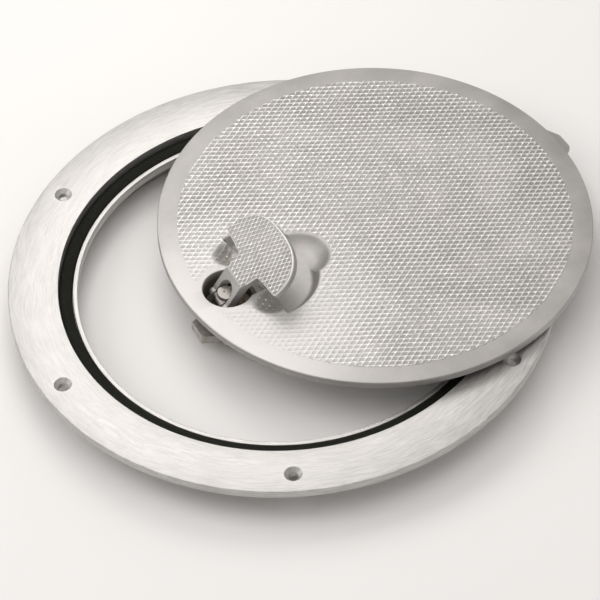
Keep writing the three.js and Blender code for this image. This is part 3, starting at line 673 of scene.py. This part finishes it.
def lid_metal():
    """Cast aluminium, with a painted sheen beside the latch, darker deep in its well, partly from dirt and
    partly as painted shade, and darker in the dips for the fingers.
    """
    n = Nodes("cast_lid")
    grain, blotch = n.noise(1500, 2), n.noise(16, 4, roughness=0.6)
    dots, cells = tread_pattern(n, LID_TREAD)
    inside_dips = in_dips(n)
    base = cast_colour(n, grain, blotch)
    # Painted sheen: the lid's face lightened round the latch.
    base = n.mix(n.math("MULTIPLY", painted_sheen(n), 0.48), base, grey(0.84, 0.02))
    # Painted shade in the cells between the ridges, weaker under the painted sheen.
    shaded = n.math("MULTIPLY", shaded_cells(n, cells, 0.0, 1.0), on_lid_tread(n))
    base = n.mix(shaded, base, grey(0.2, 0.05))
    # Darker deep in the well: partly dirt, partly painted shade.
    base = n.mix(n.math("MULTIPLY", well_dirt_and_shade(n), 0.85), base, (0.11, 0.1, 0.065, 1))
    # The dips for the fingers are painted a darker olive.
    base = n.mix(n.math("MULTIPLY", inside_dips, 0.4), base, (0.28, 0.26, 0.21, 1))
    worn = n.math("MULTIPLY", dots, n.ramp(n.noise(260, 3), 0.35, 0.6, 0.15, 0.9))
    brightened = rubbed_ridges(n, dots, 0.0, LID_TREAD)
    brightened = n.math("MAXIMUM", brightened, n.math("MULTIPLY", inside_dips, worn))
    return finish_casting(n, base, brightened, grain, blotch)


def lever_metal():
    """Cast aluminium, with a painted highlight round the head's edge."""
    n = Nodes("cast_lever")
    grain, blotch = n.noise(1500, 2), n.noise(16, 4, roughness=0.6)
    dots, cells = tread_pattern(n, LEVER_TREAD)
    base = cast_colour(n, grain, blotch)
    # Painted shade in the cells between the ridges.
    base = n.mix(shaded_cells(n, cells, LEVER_TOP, 1.5), base, grey(0.2, 0.05))
    brightened = rubbed_ridges(n, dots, LEVER_TOP, LEVER_TREAD)
    # Painted highlight along the head's rounded top edge, joined to the rubbed ridges.
    brightened = n.math("MAXIMUM", brightened, painted_edge_highlight(n, LEVER_TOP))
    return finish_casting(n, base, brightened, grain, blotch)


def turned_aluminium(name):
    """Aluminium rubbed round its axis: fine arcs of scratches that drift a little."""
    n = Nodes(name)
    x, y, z = n.split()
    radius = n.math("SQRT", n.math("ADD", n.math("MULTIPLY", x, x), n.math("MULTIPLY", y, y)))
    east, north = n.math("DIVIDE", x, radius), n.math("DIVIDE", y, radius)
    drift = n.math("MULTIPLY", n.noise(14, 2), 0.012)
    lines = n.math("ADD", n.math("ADD", radius, z), drift)

    def arcs(round_scale, per_metre):
        place = n.vector(
            n.math("MULTIPLY", east, round_scale), n.math("MULTIPLY", north, round_scale),
            n.math("MULTIPLY", lines, per_metre),
        )
        return n.noise(1.0, 3, place)

    fine, broad = arcs(16, 1500), arcs(10, 700)
    haze = n.noise(20, 3)
    colour = n.mix(n.ramp(broad, 0.3, 0.7), grey(0.44, 0.02), grey(0.52, 0.02))
    colour = n.mix(n.ramp(fine, 0.4, 0.65, 0.0, 0.45), colour, grey(0.74, 0.015))
    colour = n.mix(n.ramp(haze, 0.5, 0.75, 0.0, 0.25), colour, grey(0.4, 0.03))
    rough = n.ramp(fine, 0.3, 0.7, 0.4, 0.54)
    normal = n.bump(broad, 0.00004, 0.4)
    normal = n.bump(fine, 0.00003, 0.7, normal)
    return n.finish(colour, rough, 0.9, normal)


def machined_metal(name, colour_low, colour_high, roughness):
    """Machined metal with small scratches and handling marks."""
    n = Nodes(name)
    marks = n.noise(260, 4, roughness=0.65)
    scratches = n.noise(900, 2, distortion=1.5)
    colour = n.mix(n.ramp(marks, 0.3, 0.7), colour_low, colour_high)
    rough = n.ramp(marks, 0.3, 0.7, roughness, roughness + 0.18)
    return n.finish(colour, rough, 1.0, n.bump(scratches, 0.00005, 0.5))


def rubber(name):
    """Black rubber with grey dust caught on it."""
    n = Nodes(name)
    dust = n.noise(420, 5, roughness=0.7)
    streak = n.noise(60, 3)
    amount = n.math("MULTIPLY", n.ramp(dust, 0.55, 0.8), n.ramp(streak, 0.4, 0.75))
    colour = n.mix(amount, (0.006, 0.007, 0.004, 1), (0.11, 0.1, 0.08, 1))
    rough = n.ramp(dust, 0.3, 0.7, 0.62, 0.85)
    return n.finish(colour, rough, 0.0, n.bump(n.noise(700, 3), 0.0001, 0.5), Specular_IOR_Level=0.2)


# ---- frame ----


def frame_profile():
    corners = [
        (FLANGE_RADIUS, -FLANGE_THICKNESS, 0.5), (FLANGE_RADIUS, 0, 0.8), (RECESS_RADIUS, 0, 0.35),
        (RECESS_RADIUS, -GROOVE_DEPTH, 0.3), (LIP_OUTER_RADIUS, -GROOVE_DEPTH, 0.3),
        (LIP_OUTER_RADIUS, -LIP_DEPTH, 0.4), (OPENING_RADIUS, -LIP_DEPTH, 0.6),
        (OPENING_RADIUS, -LEDGE_UNDERSIDE_DEPTH, 0.8), (COLLAR_INNER_RADIUS, -LEDGE_UNDERSIDE_DEPTH, 1.5),
        (COLLAR_INNER_RADIUS, -FRAME_HEIGHT, 0.5), (COLLAR_OUTER_RADIUS, -FRAME_HEIGHT, 0.5),
        (COLLAR_OUTER_RADIUS, -FLANGE_THICKNESS, 1.5),
    ]
    return fillet([c[:2] for c in corners], [c[2] for c in corners], 4)


def sector(outer, inner, top, bottom, centre_deg, half_deg):
    loop = np.concatenate([
        arc(0, 0, outer, centre_deg - half_deg, centre_deg + half_deg, 16),
        arc(0, 0, inner, centre_deg + half_deg, centre_deg - half_deg, 16),
    ])
    return plate(loop, top, bottom)


def screw_hole(angle_deg):
    depth = SCREW_SINK_RADIUS - SCREW_HOLE_RADIUS
    profile = [
        (0, -FLANGE_THICKNESS - 1), (SCREW_HOLE_RADIUS, -FLANGE_THICKNESS - 1), (SCREW_HOLE_RADIUS, -depth),
        (SCREW_SINK_RADIUS + 1, 1), (0, 1),
    ]
    angle = math.radians(angle_deg)
    x, y = SCREW_CIRCLE_RADIUS * math.cos(angle), SCREW_CIRCLE_RADIUS * math.sin(angle)
    return moved(turned(profile, 64), x, y)


def strike():
    """The block under the ledge that the dog turns beneath, with a sloped lead-in."""
    block = sector(COLLAR_INNER_RADIUS + 1, STRIKE_INNER_RADIUS, -LEDGE_UNDERSIDE_DEPTH + 1,
                   -STRIKE_BOTTOM_DEPTH, 180, STRIKE_HALF_ANGLE)
    slope = box(-STRIKE_INNER_RADIUS - 20, -STRIKE_INNER_RADIUS + 10, 0, 30, -8, 0)
    slope.data.transform(Matrix.Rotation(math.atan2(2.2, 22), 4, "X"))
    return combine(block, cuts=[moved(slope, z=-STRIKE_BOTTOM_DEPTH)])


def frame_casting():
    top, bottom = (-d for d in LUG_POCKET_DEPTHS)
    half = LUG_POCKET_HALF_WIDTH
    outer, inner = LUG_POCKET_RADIUS + 3, RECESS_RADIUS + 1
    wall = sector(outer, inner, -FLANGE_THICKNESS + 1, bottom - 3, LUG_ANGLE_DEG, 7)
    near_lug = box(RECESS_RADIUS - 8, LUG_POCKET_RADIUS + 1, -half, half, -20, 1)
    pocket = combine(rod(LUG_POCKET_RADIUS, top, bottom, segments=256), keeps=[near_lug])
    pocket.data.transform(turn("Z", LUG_ANGLE_DEG))
    holes = [screw_hole(i * 360 / SCREW_COUNT) for i in range(SCREW_COUNT)]
    return combine(turned(frame_profile(), 288), joins=[strike(), wall], cuts=[pocket, *holes])


def seal_ring():
    outline = fillet([(148.0, -9.95), (157.0, -9.95), (157.0, -5.6), (153.8, -5.1), (148.0, -6.9)],
                     [0.3, 0.3, 1.6, 2.5, 1.6], 4)
    ring = turned(outline, 288)
    mesh = ring.data
    for v in mesh.vertices:
        angle = math.atan2(v.co.y, v.co.x)
        if v.co.z > -8:
            v.co.z += 0.14 * math.sin(9 * angle + 1.3) + 0.08 * math.sin(31 * angle)
    return ring


# ---- lid ----


def dip_drop(distance):
    """A dip's depth as a share of its greatest; distance is 0 in its middle and 1 at its edge."""
    return np.clip(1 - distance ** 2, 0, 1) ** 1.5


def fade(distance, start, length):
    return np.clip((distance - start) / length, 0, 1)


def lid_ground(x, y):
    """The level of the lid's face, with its two dips, and how strong each family of ridges is there."""
    along = x + SHAFT_OFFSET
    dip = dip_drop(np.hypot((along - DIP["x"]) / DIP["rx"], (np.abs(y) - DIP["y"]) / DIP["ry"]))
    beside_head = np.where(along > HEAD_POCKET_CHORD, np.hypot(along - HEAD_POCKET_CENTRE, y), 99.0)
    calm = fade(np.hypot(along, y), WELL_RADIUS + 2.5, 6.0)
    calm = calm * fade(np.hypot(along - SCOOP_CENTRE, y), SCOOP_RADIUS + 1.0, 2.5)
    calm = calm * fade(beside_head, HEAD_POCKET_RADIUS + 0.8, 2.0)
    rubbed_flat = 0.45 + 0.55 * fade(np.hypot(along, y + 30), 30.0, 60.0)
    strength = calm * np.minimum(rubbed_flat + dip, 1)
    first = strength * (0.75 + 0.25 * rolling(x, y, 30, 11))
    second = strength * (0.8 + 0.2 * rolling(x, y, 34, 8))
    return 0.02 - DIP["depth"] * dip, first, second


def lid_profile():
    corners = [(0, -LID_THICKNESS, 0), (LID_RADIUS, -LID_THICKNESS, 0.5), (LID_RADIUS, 0, 0.9), (0, 0, 0)]
    return fillet([c[:2] for c in corners], [c[2] for c in corners], 4)


def lid_lug():
    """The tongue on the rim, one flank long and one short: each section across it is lower than the last."""
    sections = []
    root = LID_RADIUS - 7
    for t in np.linspace(0, 1, 21):
        x = root + (LUG_REACH - root) * t
        ease = t * t * (3 - 2 * t)
        end = max(0.0, (x - LUG_REACH + 1.2) / 1.2) ** 2
        long_side = LUG_HALF_WIDTH * (3.0 - 2.0 * ease) - end
        short_side = LUG_HALF_WIDTH * (1.6 - 0.6 * t ** 6) - end
        top = -0.05 - 2.65 * t ** 3 - 0.7 * end
        outline = fillet([(-short_side, top), (-short_side, -LID_THICKNESS), (long_side, -LID_THICKNESS),
                          (long_side, top)], [0.9, 0.3, 0.3, 0.9], 3)
        sections.append((outline, -x))
    lug = loft(sections)
    lug.data.transform(Matrix(((0, 0, -1, 0), (1, 0, 0, 0), (0, 1, 0, 0), (0, 0, 0, 1))))
    lug.data.transform(turn("Z", LUG_ANGLE_DEG))
    return lug


def head_pocket_loop():
    half = math.degrees(math.acos((HEAD_POCKET_CHORD - HEAD_POCKET_CENTRE) / HEAD_POCKET_RADIUS))
    loop = arc(HEAD_POCKET_CENTRE - SHAFT_OFFSET, 0, HEAD_POCKET_RADIUS, -half, half, 72)
    corners = [0.0] * len(loop)
    corners[0] = corners[-1] = 7.0
    return fillet(loop, corners, 5)


def hollow(loop, depth, draft=1.0, floor_round=2.6, lip=1.1):
    """A cutter for a pocket: flared at the top edge, drafted walls, a rounded floor."""
    levels = [(inset(loop, -lip), 2.0), (inset(loop, -lip), 0.0)]
    levels.append((inset(loop, -0.35 * lip), -0.3 * lip))
    levels.append((inset(loop, 0.0), -lip))
    levels.append((inset(loop, draft), -depth + floor_round))
    for k in (1, 2, 3):
        a = math.pi / 2 * k / 3
        side, rise = floor_round * (1 - math.cos(a)), floor_round * (1 - math.sin(a))
        levels.append((inset(loop, draft + side), -depth + rise))
    return loft(levels)


def scoop_cutter():
    r = SCOOP_RADIUS
    profile = [
        (0, 2), (r + 1.5, 2), (r + 1.5, 0), (r + 0.8, -0.25), (r - 0.2, -1.1), (r - 1.6, -2.6),
        (r - 3.6, -4.4), (r - 6.2, -6.1), (r - 9.5, -7.3), (r - 13.5, -POCKET_DEPTH + 0.1),
        (0, -POCKET_DEPTH + 0.02),
    ]
    return moved(turned(profile, 120), SCOOP_CENTRE - SHAFT_OFFSET)


def well_cutters():
    r, floor = WELL_RADIUS, -WELL_DEPTH
    profile = [
        (0, floor), (r - 1.2, floor), (r - 0.35, floor + 0.35), (r, floor + 1.2), (r, -0.7), (r + 0.15, -0.3),
        (r + 0.4, -0.05), (r + 0.6, 0.0), (r + 0.6, 2), (0, 2),
    ]
    bush_hole = rod(BUSH_HOLE_RADIUS, 0, -BOSS_DEPTH - 1, -SHAFT_OFFSET)
    tools = [moved(turned(profile), -SHAFT_OFFSET), bush_hole]
    for x, y in stop_pin_places():
        tools.append(rod(STOP_PIN_RADIUS + GAP, -WELL_DEPTH - 1.2, -BOSS_DEPTH - 1, x, y))
    return tools


def stop_pin_places():
    angles = [math.radians(a) for a in STOP_PIN_ANGLES_DEG]
    r = STOP_PIN_CIRCLE_RADIUS
    return [(r * math.cos(a) - SHAFT_OFFSET, r * math.sin(a)) for a in angles]


def stem_slot_loop():
    h, x0 = STEM_SLOT_HALF_WIDTH, -SHAFT_OFFSET
    x1 = HEAD_POCKET_CHORD + 6 - SHAFT_OFFSET
    return fillet([(x0, -h), (x1, -h), (x1, h), (x0, h)], 1.5, 4)


def lid_underside():
    """The bulges of the pocket, the latch's boss and its stop pins' pads, below the plate."""
    top, wall = -LID_THICKNESS + 1, POCKET_WALL
    head = plate(inset(head_pocket_loop(), -wall), top, -POCKET_DEPTH - wall, bottom_edge=2.0)
    scoop = rod(SCOOP_RADIUS + wall - 1, top, -POCKET_DEPTH - wall, SCOOP_CENTRE - SHAFT_OFFSET,
                edge=2.0, segments=96)
    slot = plate(inset(stem_slot_loop(), -wall), top, -STEM_SLOT_DEPTH - wall, bottom_edge=1.5)
    boss = rod(BOSS_RADIUS, top, -BOSS_DEPTH, -SHAFT_OFFSET, edge=0.9, segments=96)
    pads = [rod(2 * STOP_PIN_RADIUS, top, -BOSS_DEPTH, x, y, edge=0.5) for x, y in stop_pin_places()]
    return [head, scoop, slot, boss, *pads]


def dip_cutters():
    """Cutters that clear the plate to just under the dips' ground: the tread's slab makes their surface."""
    tools = []
    for side in (-1, 1):
        shares = np.linspace(0, 0.97, 16)
        profile = [(r, -DIP["depth"] * dip_drop(r) - 0.3) for r in shares] + [(0.97, 1), (0, 1)]
        bowl = turned(profile, 64)
        bowl.data.transform(Matrix.Diagonal((DIP["rx"], DIP["ry"], 1, 1)))
        tools.append(moved(bowl, DIP["x"] - SHAFT_OFFSET, side * DIP["y"], 0.0))
    return tools


def lid_casting():
    reach = TREAD_RADIUS + 4
    slab = tread_slab(LID_TREAD, reach, lambda x, y: np.hypot(x, y) < reach, lid_ground, 1.6)
    slab = combine(slab, keeps=[rod(TREAD_RADIUS, 5, -12, segments=288)])
    plain = combine(turned(lid_profile(), 288), joins=[lid_lug(), *lid_underside()])
    plain = combine(plain, cuts=dip_cutters())
    head_pocket = hollow(head_pocket_loop(), POCKET_DEPTH, 2.6, 3.6, 1.4)
    stem_slot = hollow(stem_slot_loop(), STEM_SLOT_DEPTH)
    plain = combine(plain, joins=[slab])
    return combine(plain, cuts=[head_pocket, scoop_cutter(), stem_slot, *well_cutters()])


# ---- lever ----


def lever_outline():
    a, b = LEVER_REACH - LEVER_HEAD_CENTRE, LEVER_HEAD_HALF_WIDTH
    power = 2 / LEVER_HEAD_ROUNDNESS
    angles = np.linspace(-math.pi / 2, math.pi / 2, 49)
    front = [
        (LEVER_HEAD_CENTRE + a * math.cos(t) ** power, math.copysign(b * abs(math.sin(t)) ** power, t))
        for t in angles
    ]
    stem = FORK_CRANK_X - 1
    points = [(stem, -FORK_HALF_WIDTH), (LEVER_NOTCH[0], -LEVER_NOTCH[1]), (LEVER_TIP[0], -LEVER_TIP[1])]
    points += front + [LEVER_TIP, LEVER_NOTCH, (stem, FORK_HALF_WIDTH)]
    radii = [0, 1.5, 1.5] + [0] * len(front) + [1.5, 1.5, 0]
    return fillet(points, radii, 4)


def lever_surface(x, y):
    ground = np.full_like(x, LEVER_TOP - 0.02)
    return ground, 0.7 + 0.4 * rolling(x, y, 14, 3), 0.7 + 0.4 * rolling(x, y, 11, 4)


def lever_casting():
    top, bottom = LEVER_TOP, LEVER_TOP - LEVER_THICKNESS
    outline = lever_outline()
    head = plate(outline, top, bottom, 1.2, 0.6)
    rise = (FORK_CRANK_X - PIVOT[0]) * math.tan(math.radians(FORK_DROP_DEG))
    side = fillet([
        (FORK_CRANK_X + 6, bottom + 0.4), (FORK_CRANK_X - 4, bottom - 2.4),
        (PIVOT[0], PIVOT[1] - FORK_EYE_RADIUS), (PIVOT[0], top - rise), (FORK_CRANK_X, top - 0.1),
        (FORK_CRANK_X + 2, top - 0.8),
    ], [0, 2, 0, 0, 1.5, 0])
    arms = side_plate(side, -FORK_HALF_WIDTH, FORK_HALF_WIDTH, 0.7)
    eyes = across(rod(FORK_EYE_RADIUS, FORK_HALF_WIDTH, -FORK_HALF_WIDTH, edge=0.7), *PIVOT)
    half = FORK_GAP_HALF_WIDTH
    gap = np.concatenate([[(-30, half), (-30, -half)], arc(FORK_GAP_END - half, 0, half, -90, 90, 24)])
    body = combine(head, joins=[arms, eyes], cuts=[plate(gap, 10, -30)])
    body = softened(body, 0.42, 4)
    tread = inset(outline, 1.3)
    beside_fork = box(-40, FORK_CRANK_X + 1.5, -50, 50, -10, 10)
    slab = tread_slab(LEVER_TREAD, 70, lambda x, y: (x > 6) & (x < 62) & (np.abs(y) < 40), lever_surface, 1.2)
    slab = combine(slab, keeps=[plate(tread, 5, -5)], cuts=[beside_fork])
    pin_hole = across(rod(PIN_RADIUS + GAP, 20, -20), *PIVOT)
    return combine(body, joins=[slab], cuts=[pin_hole])


# ---- latch ----


def hub_block():
    """The shaft's head: round with two flats, lower in front, with an ear for the pin behind."""
    coil_room = rod(COIL_RADIUS + COIL_WIRE + GAP, -EAR_SIDE_Y, -12)
    ear = rod(FORK_EYE_RADIUS, HUB_HALF_WIDTH, -EAR_SIDE_Y, edge=0.4)
    body = combine(
        rod(HUB_RADIUS, HUB_TOP, HUB_BOTTOM, edge=0.5),
        keeps=[box(-20, 20, -HUB_HALF_WIDTH, HUB_HALF_WIDTH, -20, 0)],
    )
    body = combine(body, cuts=[box(HUB_STEP_X, 20, -20, 20, HUB_STEP_TOP, 5), across(coil_room, *PIVOT)])
    body = softened(combine(body, joins=[across(ear, *PIVOT)]), 0.22, 3)
    centre_mark = rod(0.8, 0, HUB_TOP - 0.9, -2.4, 0.9)
    nick = box(-0.6, 1.5, -5.0, -3.6, HUB_TOP - 1.3, 0)
    holes = [rod(NECK_RADIUS + GAP, NECK_TOP + GAP, -20), across(rod(PIN_RADIUS + GAP, 12, -12), *PIVOT),
             across(rod(ROLL_PIN_HOLE_RADIUS, 20, -20), 0, -ROLL_PIN_DEPTH)]
    return combine(body, cuts=[centre_mark, nick, *holes])


def shaft():
    shoulder = HUB_BOTTOM - GAP
    hub_top = DOG_HUB_TOP + GAP
    body = turned(fillet([
        (0, hub_top), (SHAFT_RADIUS, hub_top), (SHAFT_RADIUS, shoulder), (NECK_RADIUS, shoulder),
        (NECK_RADIUS, NECK_TOP), (0, NECK_TOP),
    ], [0, 0.2, 0.3, 0, 0.5, 0], 3))
    half = SHAFT_SQUARE_HALF_WIDTH
    square = fillet([(-half, -half), (half, -half), (half, half), (-half, half)], 0.4)
    square = plate(square, hub_top + 0.1, DOG_BOTTOM - 0.2)
    body = combine(body, joins=[combine(square, keeps=[rod(SHAFT_RADIUS, -20, -50)]), stud()])
    return combine(body, cuts=[across(rod(ROLL_PIN_HOLE_RADIUS, 20, -20), 0, -ROLL_PIN_DEPTH)])


def stud():
    """The threaded end, with a ring for each turn of its thread."""
    bottom, crest, root = SHAFT_END, 4.3, 3.8
    profile = [(0, bottom), (root - 0.3, bottom)]
    z = bottom + 0.4
    while z < DOG_BOTTOM - 0.4:
        profile += [(root, z), (crest, z + 0.4), (root, z + 0.8)]
        z += 0.9
    return turned(profile + [(root, DOG_BOTTOM + 0.1), (0, DOG_BOTTOM + 0.1)], 64)


def spring_coil():
    turns = np.linspace(0, COIL_TURNS, int(COIL_TURNS * 28) + 1)
    angles = 2 * math.pi * turns + math.pi / 2
    y = EAR_SIDE_Y + GAP + COIL_WIRE + (2 * COIL_WIRE + 0.25) * turns
    x, z = PIVOT[0] + COIL_RADIUS * np.cos(angles), PIVOT[1] + COIL_RADIUS * np.sin(angles)
    return wire(np.c_[x, y, z], COIL_WIRE)


def pivot_pin():
    half = FORK_HALF_WIDTH + 1.2
    inner = FORK_HALF_WIDTH + GAP
    profile = [
        (0, -half), (PIN_HEAD_RADIUS, -half), (PIN_HEAD_RADIUS, -inner), (PIN_RADIUS, -inner),
        (PIN_RADIUS, inner), (PIN_HEAD_RADIUS, inner), (PIN_HEAD_RADIUS, half), (0, half),
    ]
    return across(turned(fillet(profile, [0, 0.5, 0, 0, 0, 0, 0.5, 0], 3), 40), *PIVOT)


def dog():
    flare = math.tan(math.radians(DOG_TAPER_DEG))
    root_x = 9
    root_y = DOG_TIP_HALF_WIDTH + (DOG_REACH - root_x) * flare
    tip = DOG_TIP_HALF_WIDTH
    corners = [(-DOG_REACH, tip), (-DOG_REACH, -tip), (-root_x, -root_y), (-root_x, root_y)]
    outline = fillet(corners, [1.2, 1.2, 0, 0], 4)
    arm = plate(outline, DOG_TOP, DOG_BOTTOM, 0.9, 0.7)
    hub = rod(DOG_HUB_RADIUS, DOG_HUB_TOP, DOG_BOTTOM, edge=0.6, segments=96)
    half = SHAFT_SQUARE_HALF_WIDTH + GAP
    bore = combine(rod(SHAFT_HOLE_RADIUS, 0, -60), keeps=[box(-half, half, -half, half, -60, 0)])
    return combine(arm, joins=[hub], cuts=[bore])


def hexagon_nut(across_flats, top, bottom, bore):
    chamfer = 0.9
    radius = across_flats / 2 / math.cos(math.pi / 6)
    corners = [(radius * math.cos(math.pi / 3 * k), radius * math.sin(math.pi / 3 * k)) for k in range(6)]
    body = plate(corners, top, bottom)
    crown = turned([
        (0, bottom), (radius - chamfer * 1.6, bottom), (radius + 0.1, bottom + chamfer),
        (radius + 0.1, top - chamfer), (radius - chamfer * 1.6, top), (0, top),
    ])
    return combine(body, keeps=[crown], cuts=[rod(bore, 0, -60)])


def washer(outer, inner, top, bottom):
    return turned(fillet([(inner, bottom), (outer, bottom), (outer, top), (inner, top)], 0.2, 3))


def bush():
    head_bottom = BUSH_TOP - BUSH_HEAD_THICKNESS
    return turned(fillet([
        (SHAFT_HOLE_RADIUS, BUSH_BOTTOM), (BUSH_RADIUS, BUSH_BOTTOM), (BUSH_RADIUS, head_bottom),
        (BUSH_HEAD_RADIUS, head_bottom), (BUSH_HEAD_RADIUS, BUSH_TOP), (SHAFT_HOLE_RADIUS, BUSH_TOP),
    ], [0.2, 0.3, 0, 0.2, 0.4, 0.3], 3))


def spring_washer():
    top, inner, outer = BUSH_BOTTOM - GAP, SHAFT_HOLE_RADIUS, SPRING_WASHER_RADIUS
    return turned([(inner, top - 0.6), (outer, top - 1.1), (outer, top - 0.5), (inner, top)])


def thrust_washer():
    return washer(THRUST_WASHER_RADIUS, SHAFT_HOLE_RADIUS, THRUST_WASHER_TOP, THRUST_WASHER_TOP - 0.8)


def dog_washer():
    return washer(DOG_WASHER_RADIUS, STUD_HOLE_RADIUS, DOG_BOTTOM - GAP, DOG_BOTTOM - 2)


def lock_nut():
    return hexagon_nut(NUT_ACROSS_FLATS, DOG_BOTTOM - 2.3, SHAFT_END - 0.2, STUD_HOLE_RADIUS)


def bush_nut():
    return hexagon_nut(BUSH_NUT_ACROSS_FLATS, -BOSS_DEPTH - GAP, BUSH_NUT_BOTTOM, BUSH_HOLE_RADIUS)


def gasket():
    return washer(GASKET_RADIUS, BUSH_HOLE_RADIUS, GASKET_TOP, GASKET_TOP - 1)


# ---- assembly ----

LID_METAL = lid_metal()
LEVER_METAL = lever_metal()
RING_METAL = turned_aluminium("rubbed_aluminium")
STEEL = machined_metal("worn_stainless", grey(0.34, 0.06), grey(0.52, 0.05), 0.46)
BRONZE = machined_metal("aged_bronze", (0.12, 0.09, 0.06, 1), (0.2, 0.15, 0.1, 1), 0.45)
RUBBER = rubber("dusty_rubber")

finished(frame_casting(), "ring_casting", AT_RING, "frame", ["frame_ring"], RING_METAL,
         RING_SOFT_EDGE_DEG)
finished(seal_ring(), "seal_ring", AT_RING, "frame", ["frame_seal"], RUBBER)
finished(lid_casting(), "lid_casting", AT_LID, "lid", ["lid_plate"], LID_METAL)
finished(lever_casting(), "lever_casting", AT_LEVER, "handle", ["handle_lever"], LEVER_METAL)
finished(bush(), "bush", AT_SHAFT, "lid", ["shaft_bush"], BRONZE)
finished(bush_nut(), "bush_nut_hexagon", AT_SHAFT, "lid", ["bush_nut"], BRONZE)
finished(gasket(), "gasket", AT_SHAFT, "lid", ["bush_gasket"], RUBBER)

# The latch's pieces: how each is made, the CAD node it stands for, its material and its slot.
LATCH_PIECES = {
    "hub_block": (hub_block, "lever_hub", STEEL, "stainless"),
    "shaft": (shaft, "latch_shaft", STEEL, "stainless"),
    "pin": (pivot_pin, "pivot_pin", STEEL, "stainless"),
    "coil": (spring_coil, "spring_coil", STEEL, "stainless"),
    "dog": (dog, "latch_dog", STEEL, "stainless"),
    "washer_under_dog": (dog_washer, "dog_washer", BRONZE, "bronze"),
    "nut": (lock_nut, "lock_nut", STEEL, "stainless"),
    "washer_under_hub": (thrust_washer, "thrust_washer", BRONZE, "bronze"),
    "cone_washer": (spring_washer, "spring_washer", STEEL, "stainless"),
}
for name, (make, node, material, slot) in LATCH_PIECES.items():
    finished(make(), name, AT_LATCH, "latch", [node], material)

for node, material in {
    "stop_pin_locked": STEEL, "stop_pin_open": STEEL, "hub_roll_pin": STEEL,
    "upper_o_ring": RUBBER, "lower_o_ring": RUBBER,
}.items():
    mesh = frame["nodes"][node].data
    mesh.materials.clear()
    mesh.materials.append(material)

# ---- stage ----

# The camera stands on the latch's side and looks down on the open hatch through a long lens.
CAMERA_AZIMUTH_DEG = -30.3
CAMERA_ELEVATION_DEG = 48.79
CAMERA_ROLL_DEG = -2.97
CAMERA_LENS = 203.9
CAMERA_DISTANCE = 2.3793
RING_FROM_VIEW_AXIS = (-0.01234, -0.01761)


def camera_axes():
    """The camera's right, up and back directions."""
    a, e = math.radians(CAMERA_AZIMUTH_DEG), math.radians(CAMERA_ELEVATION_DEG)
    back = Vector((math.sin(a) * math.cos(e), -math.cos(a) * math.cos(e), math.sin(e)))
    right = Vector((math.cos(a), math.sin(a), 0))
    up = back.cross(right)
    roll = Matrix.Rotation(math.radians(CAMERA_ROLL_DEG), 3, back)
    return roll @ right, roll @ up, back


def add_camera():
    right, up, back = camera_axes()
    data = bpy.data.cameras.new("camera")
    data.lens = CAMERA_LENS
    data.sensor_width = 36
    data.clip_end = 50
    camera = bpy.data.objects.new("camera", data)
    place = Matrix((right, up, back)).transposed().to_4x4()
    across_view, down_view = RING_FROM_VIEW_AXIS
    place.translation = AT_RING.translation + back * CAMERA_DISTANCE - right * across_view + up * down_view
    camera.matrix_world = place
    bpy.context.scene.collection.objects.link(camera)
    bpy.context.scene.camera = camera


def add_floor():
    mesh = bpy.data.meshes.new("floor")
    size = 8.0
    corners = [(-size, -size, 0), (size, -size, 0), (size, size, 0), (-size, size, 0)]
    mesh.from_pydata(corners, [], [(0, 1, 2, 3)])
    n = Nodes("pale_paper")
    colour = n.mix(n.ramp(n.noise(1.5, 2), 0.3, 0.7), grey(0.82, 0.01), grey(0.85, 0.01))
    mesh.materials.append(n.finish(colour, 0.7, 0.0, n.bump(n.noise(900, 2), 0.00004, 0.2)))
    floor = bpy.data.objects.new("floor", mesh)
    bpy.context.scene.collection.objects.link(floor)


def add_softbox(name, direction, distance, size, power, colour):
    """A square lamp that looks at the hatch; direction is (right, away from the camera, up)."""
    a = math.radians(CAMERA_AZIMUTH_DEG)
    right, away = Vector((math.cos(a), math.sin(a), 0)), Vector((-math.sin(a), math.cos(a), 0))
    toward = (right * direction[0] + away * direction[1] + Vector((0, 0, direction[2]))).normalized()
    data = bpy.data.lights.new(name, "AREA")
    data.shape = "SQUARE"
    data.size = size
    data.energy = power
    data.color = colour
    lamp = bpy.data.objects.new(name, data)
    lamp.location = AT_RING.translation + toward * distance
    lamp.rotation_euler = toward.to_track_quat("Z", "Y").to_euler()
    bpy.context.scene.collection.objects.link(lamp)


def add_sky():
    world = bpy.data.worlds.new("studio")
    world.use_nodes = True
    background = world.node_tree.nodes["Background"]
    background.inputs["Color"].default_value = (1.0, 0.98, 0.965, 1)
    background.inputs["Strength"].default_value = 0.5
    bpy.context.scene.world = world


add_camera()
add_floor()
add_softbox("overhead", (-0.05, -0.15, 1.0), 2.6, 2.4, 23, (1.0, 0.975, 0.96))
add_softbox("key", (-0.16, 0.64, 0.9), 1.0, 0.5, 2.7, (1.0, 0.975, 0.95))
add_softbox("left", (-0.82, 0.1, 0.58), 1.5, 0.8, 5.6, (1.0, 0.975, 0.96))
add_softbox("behind", (0.75, 0.5, 0.6), 1.6, 0.7, 0.6, (1.0, 0.975, 0.96))
add_sky()
bpy.context.scene.view_settings.view_transform = "Standard"
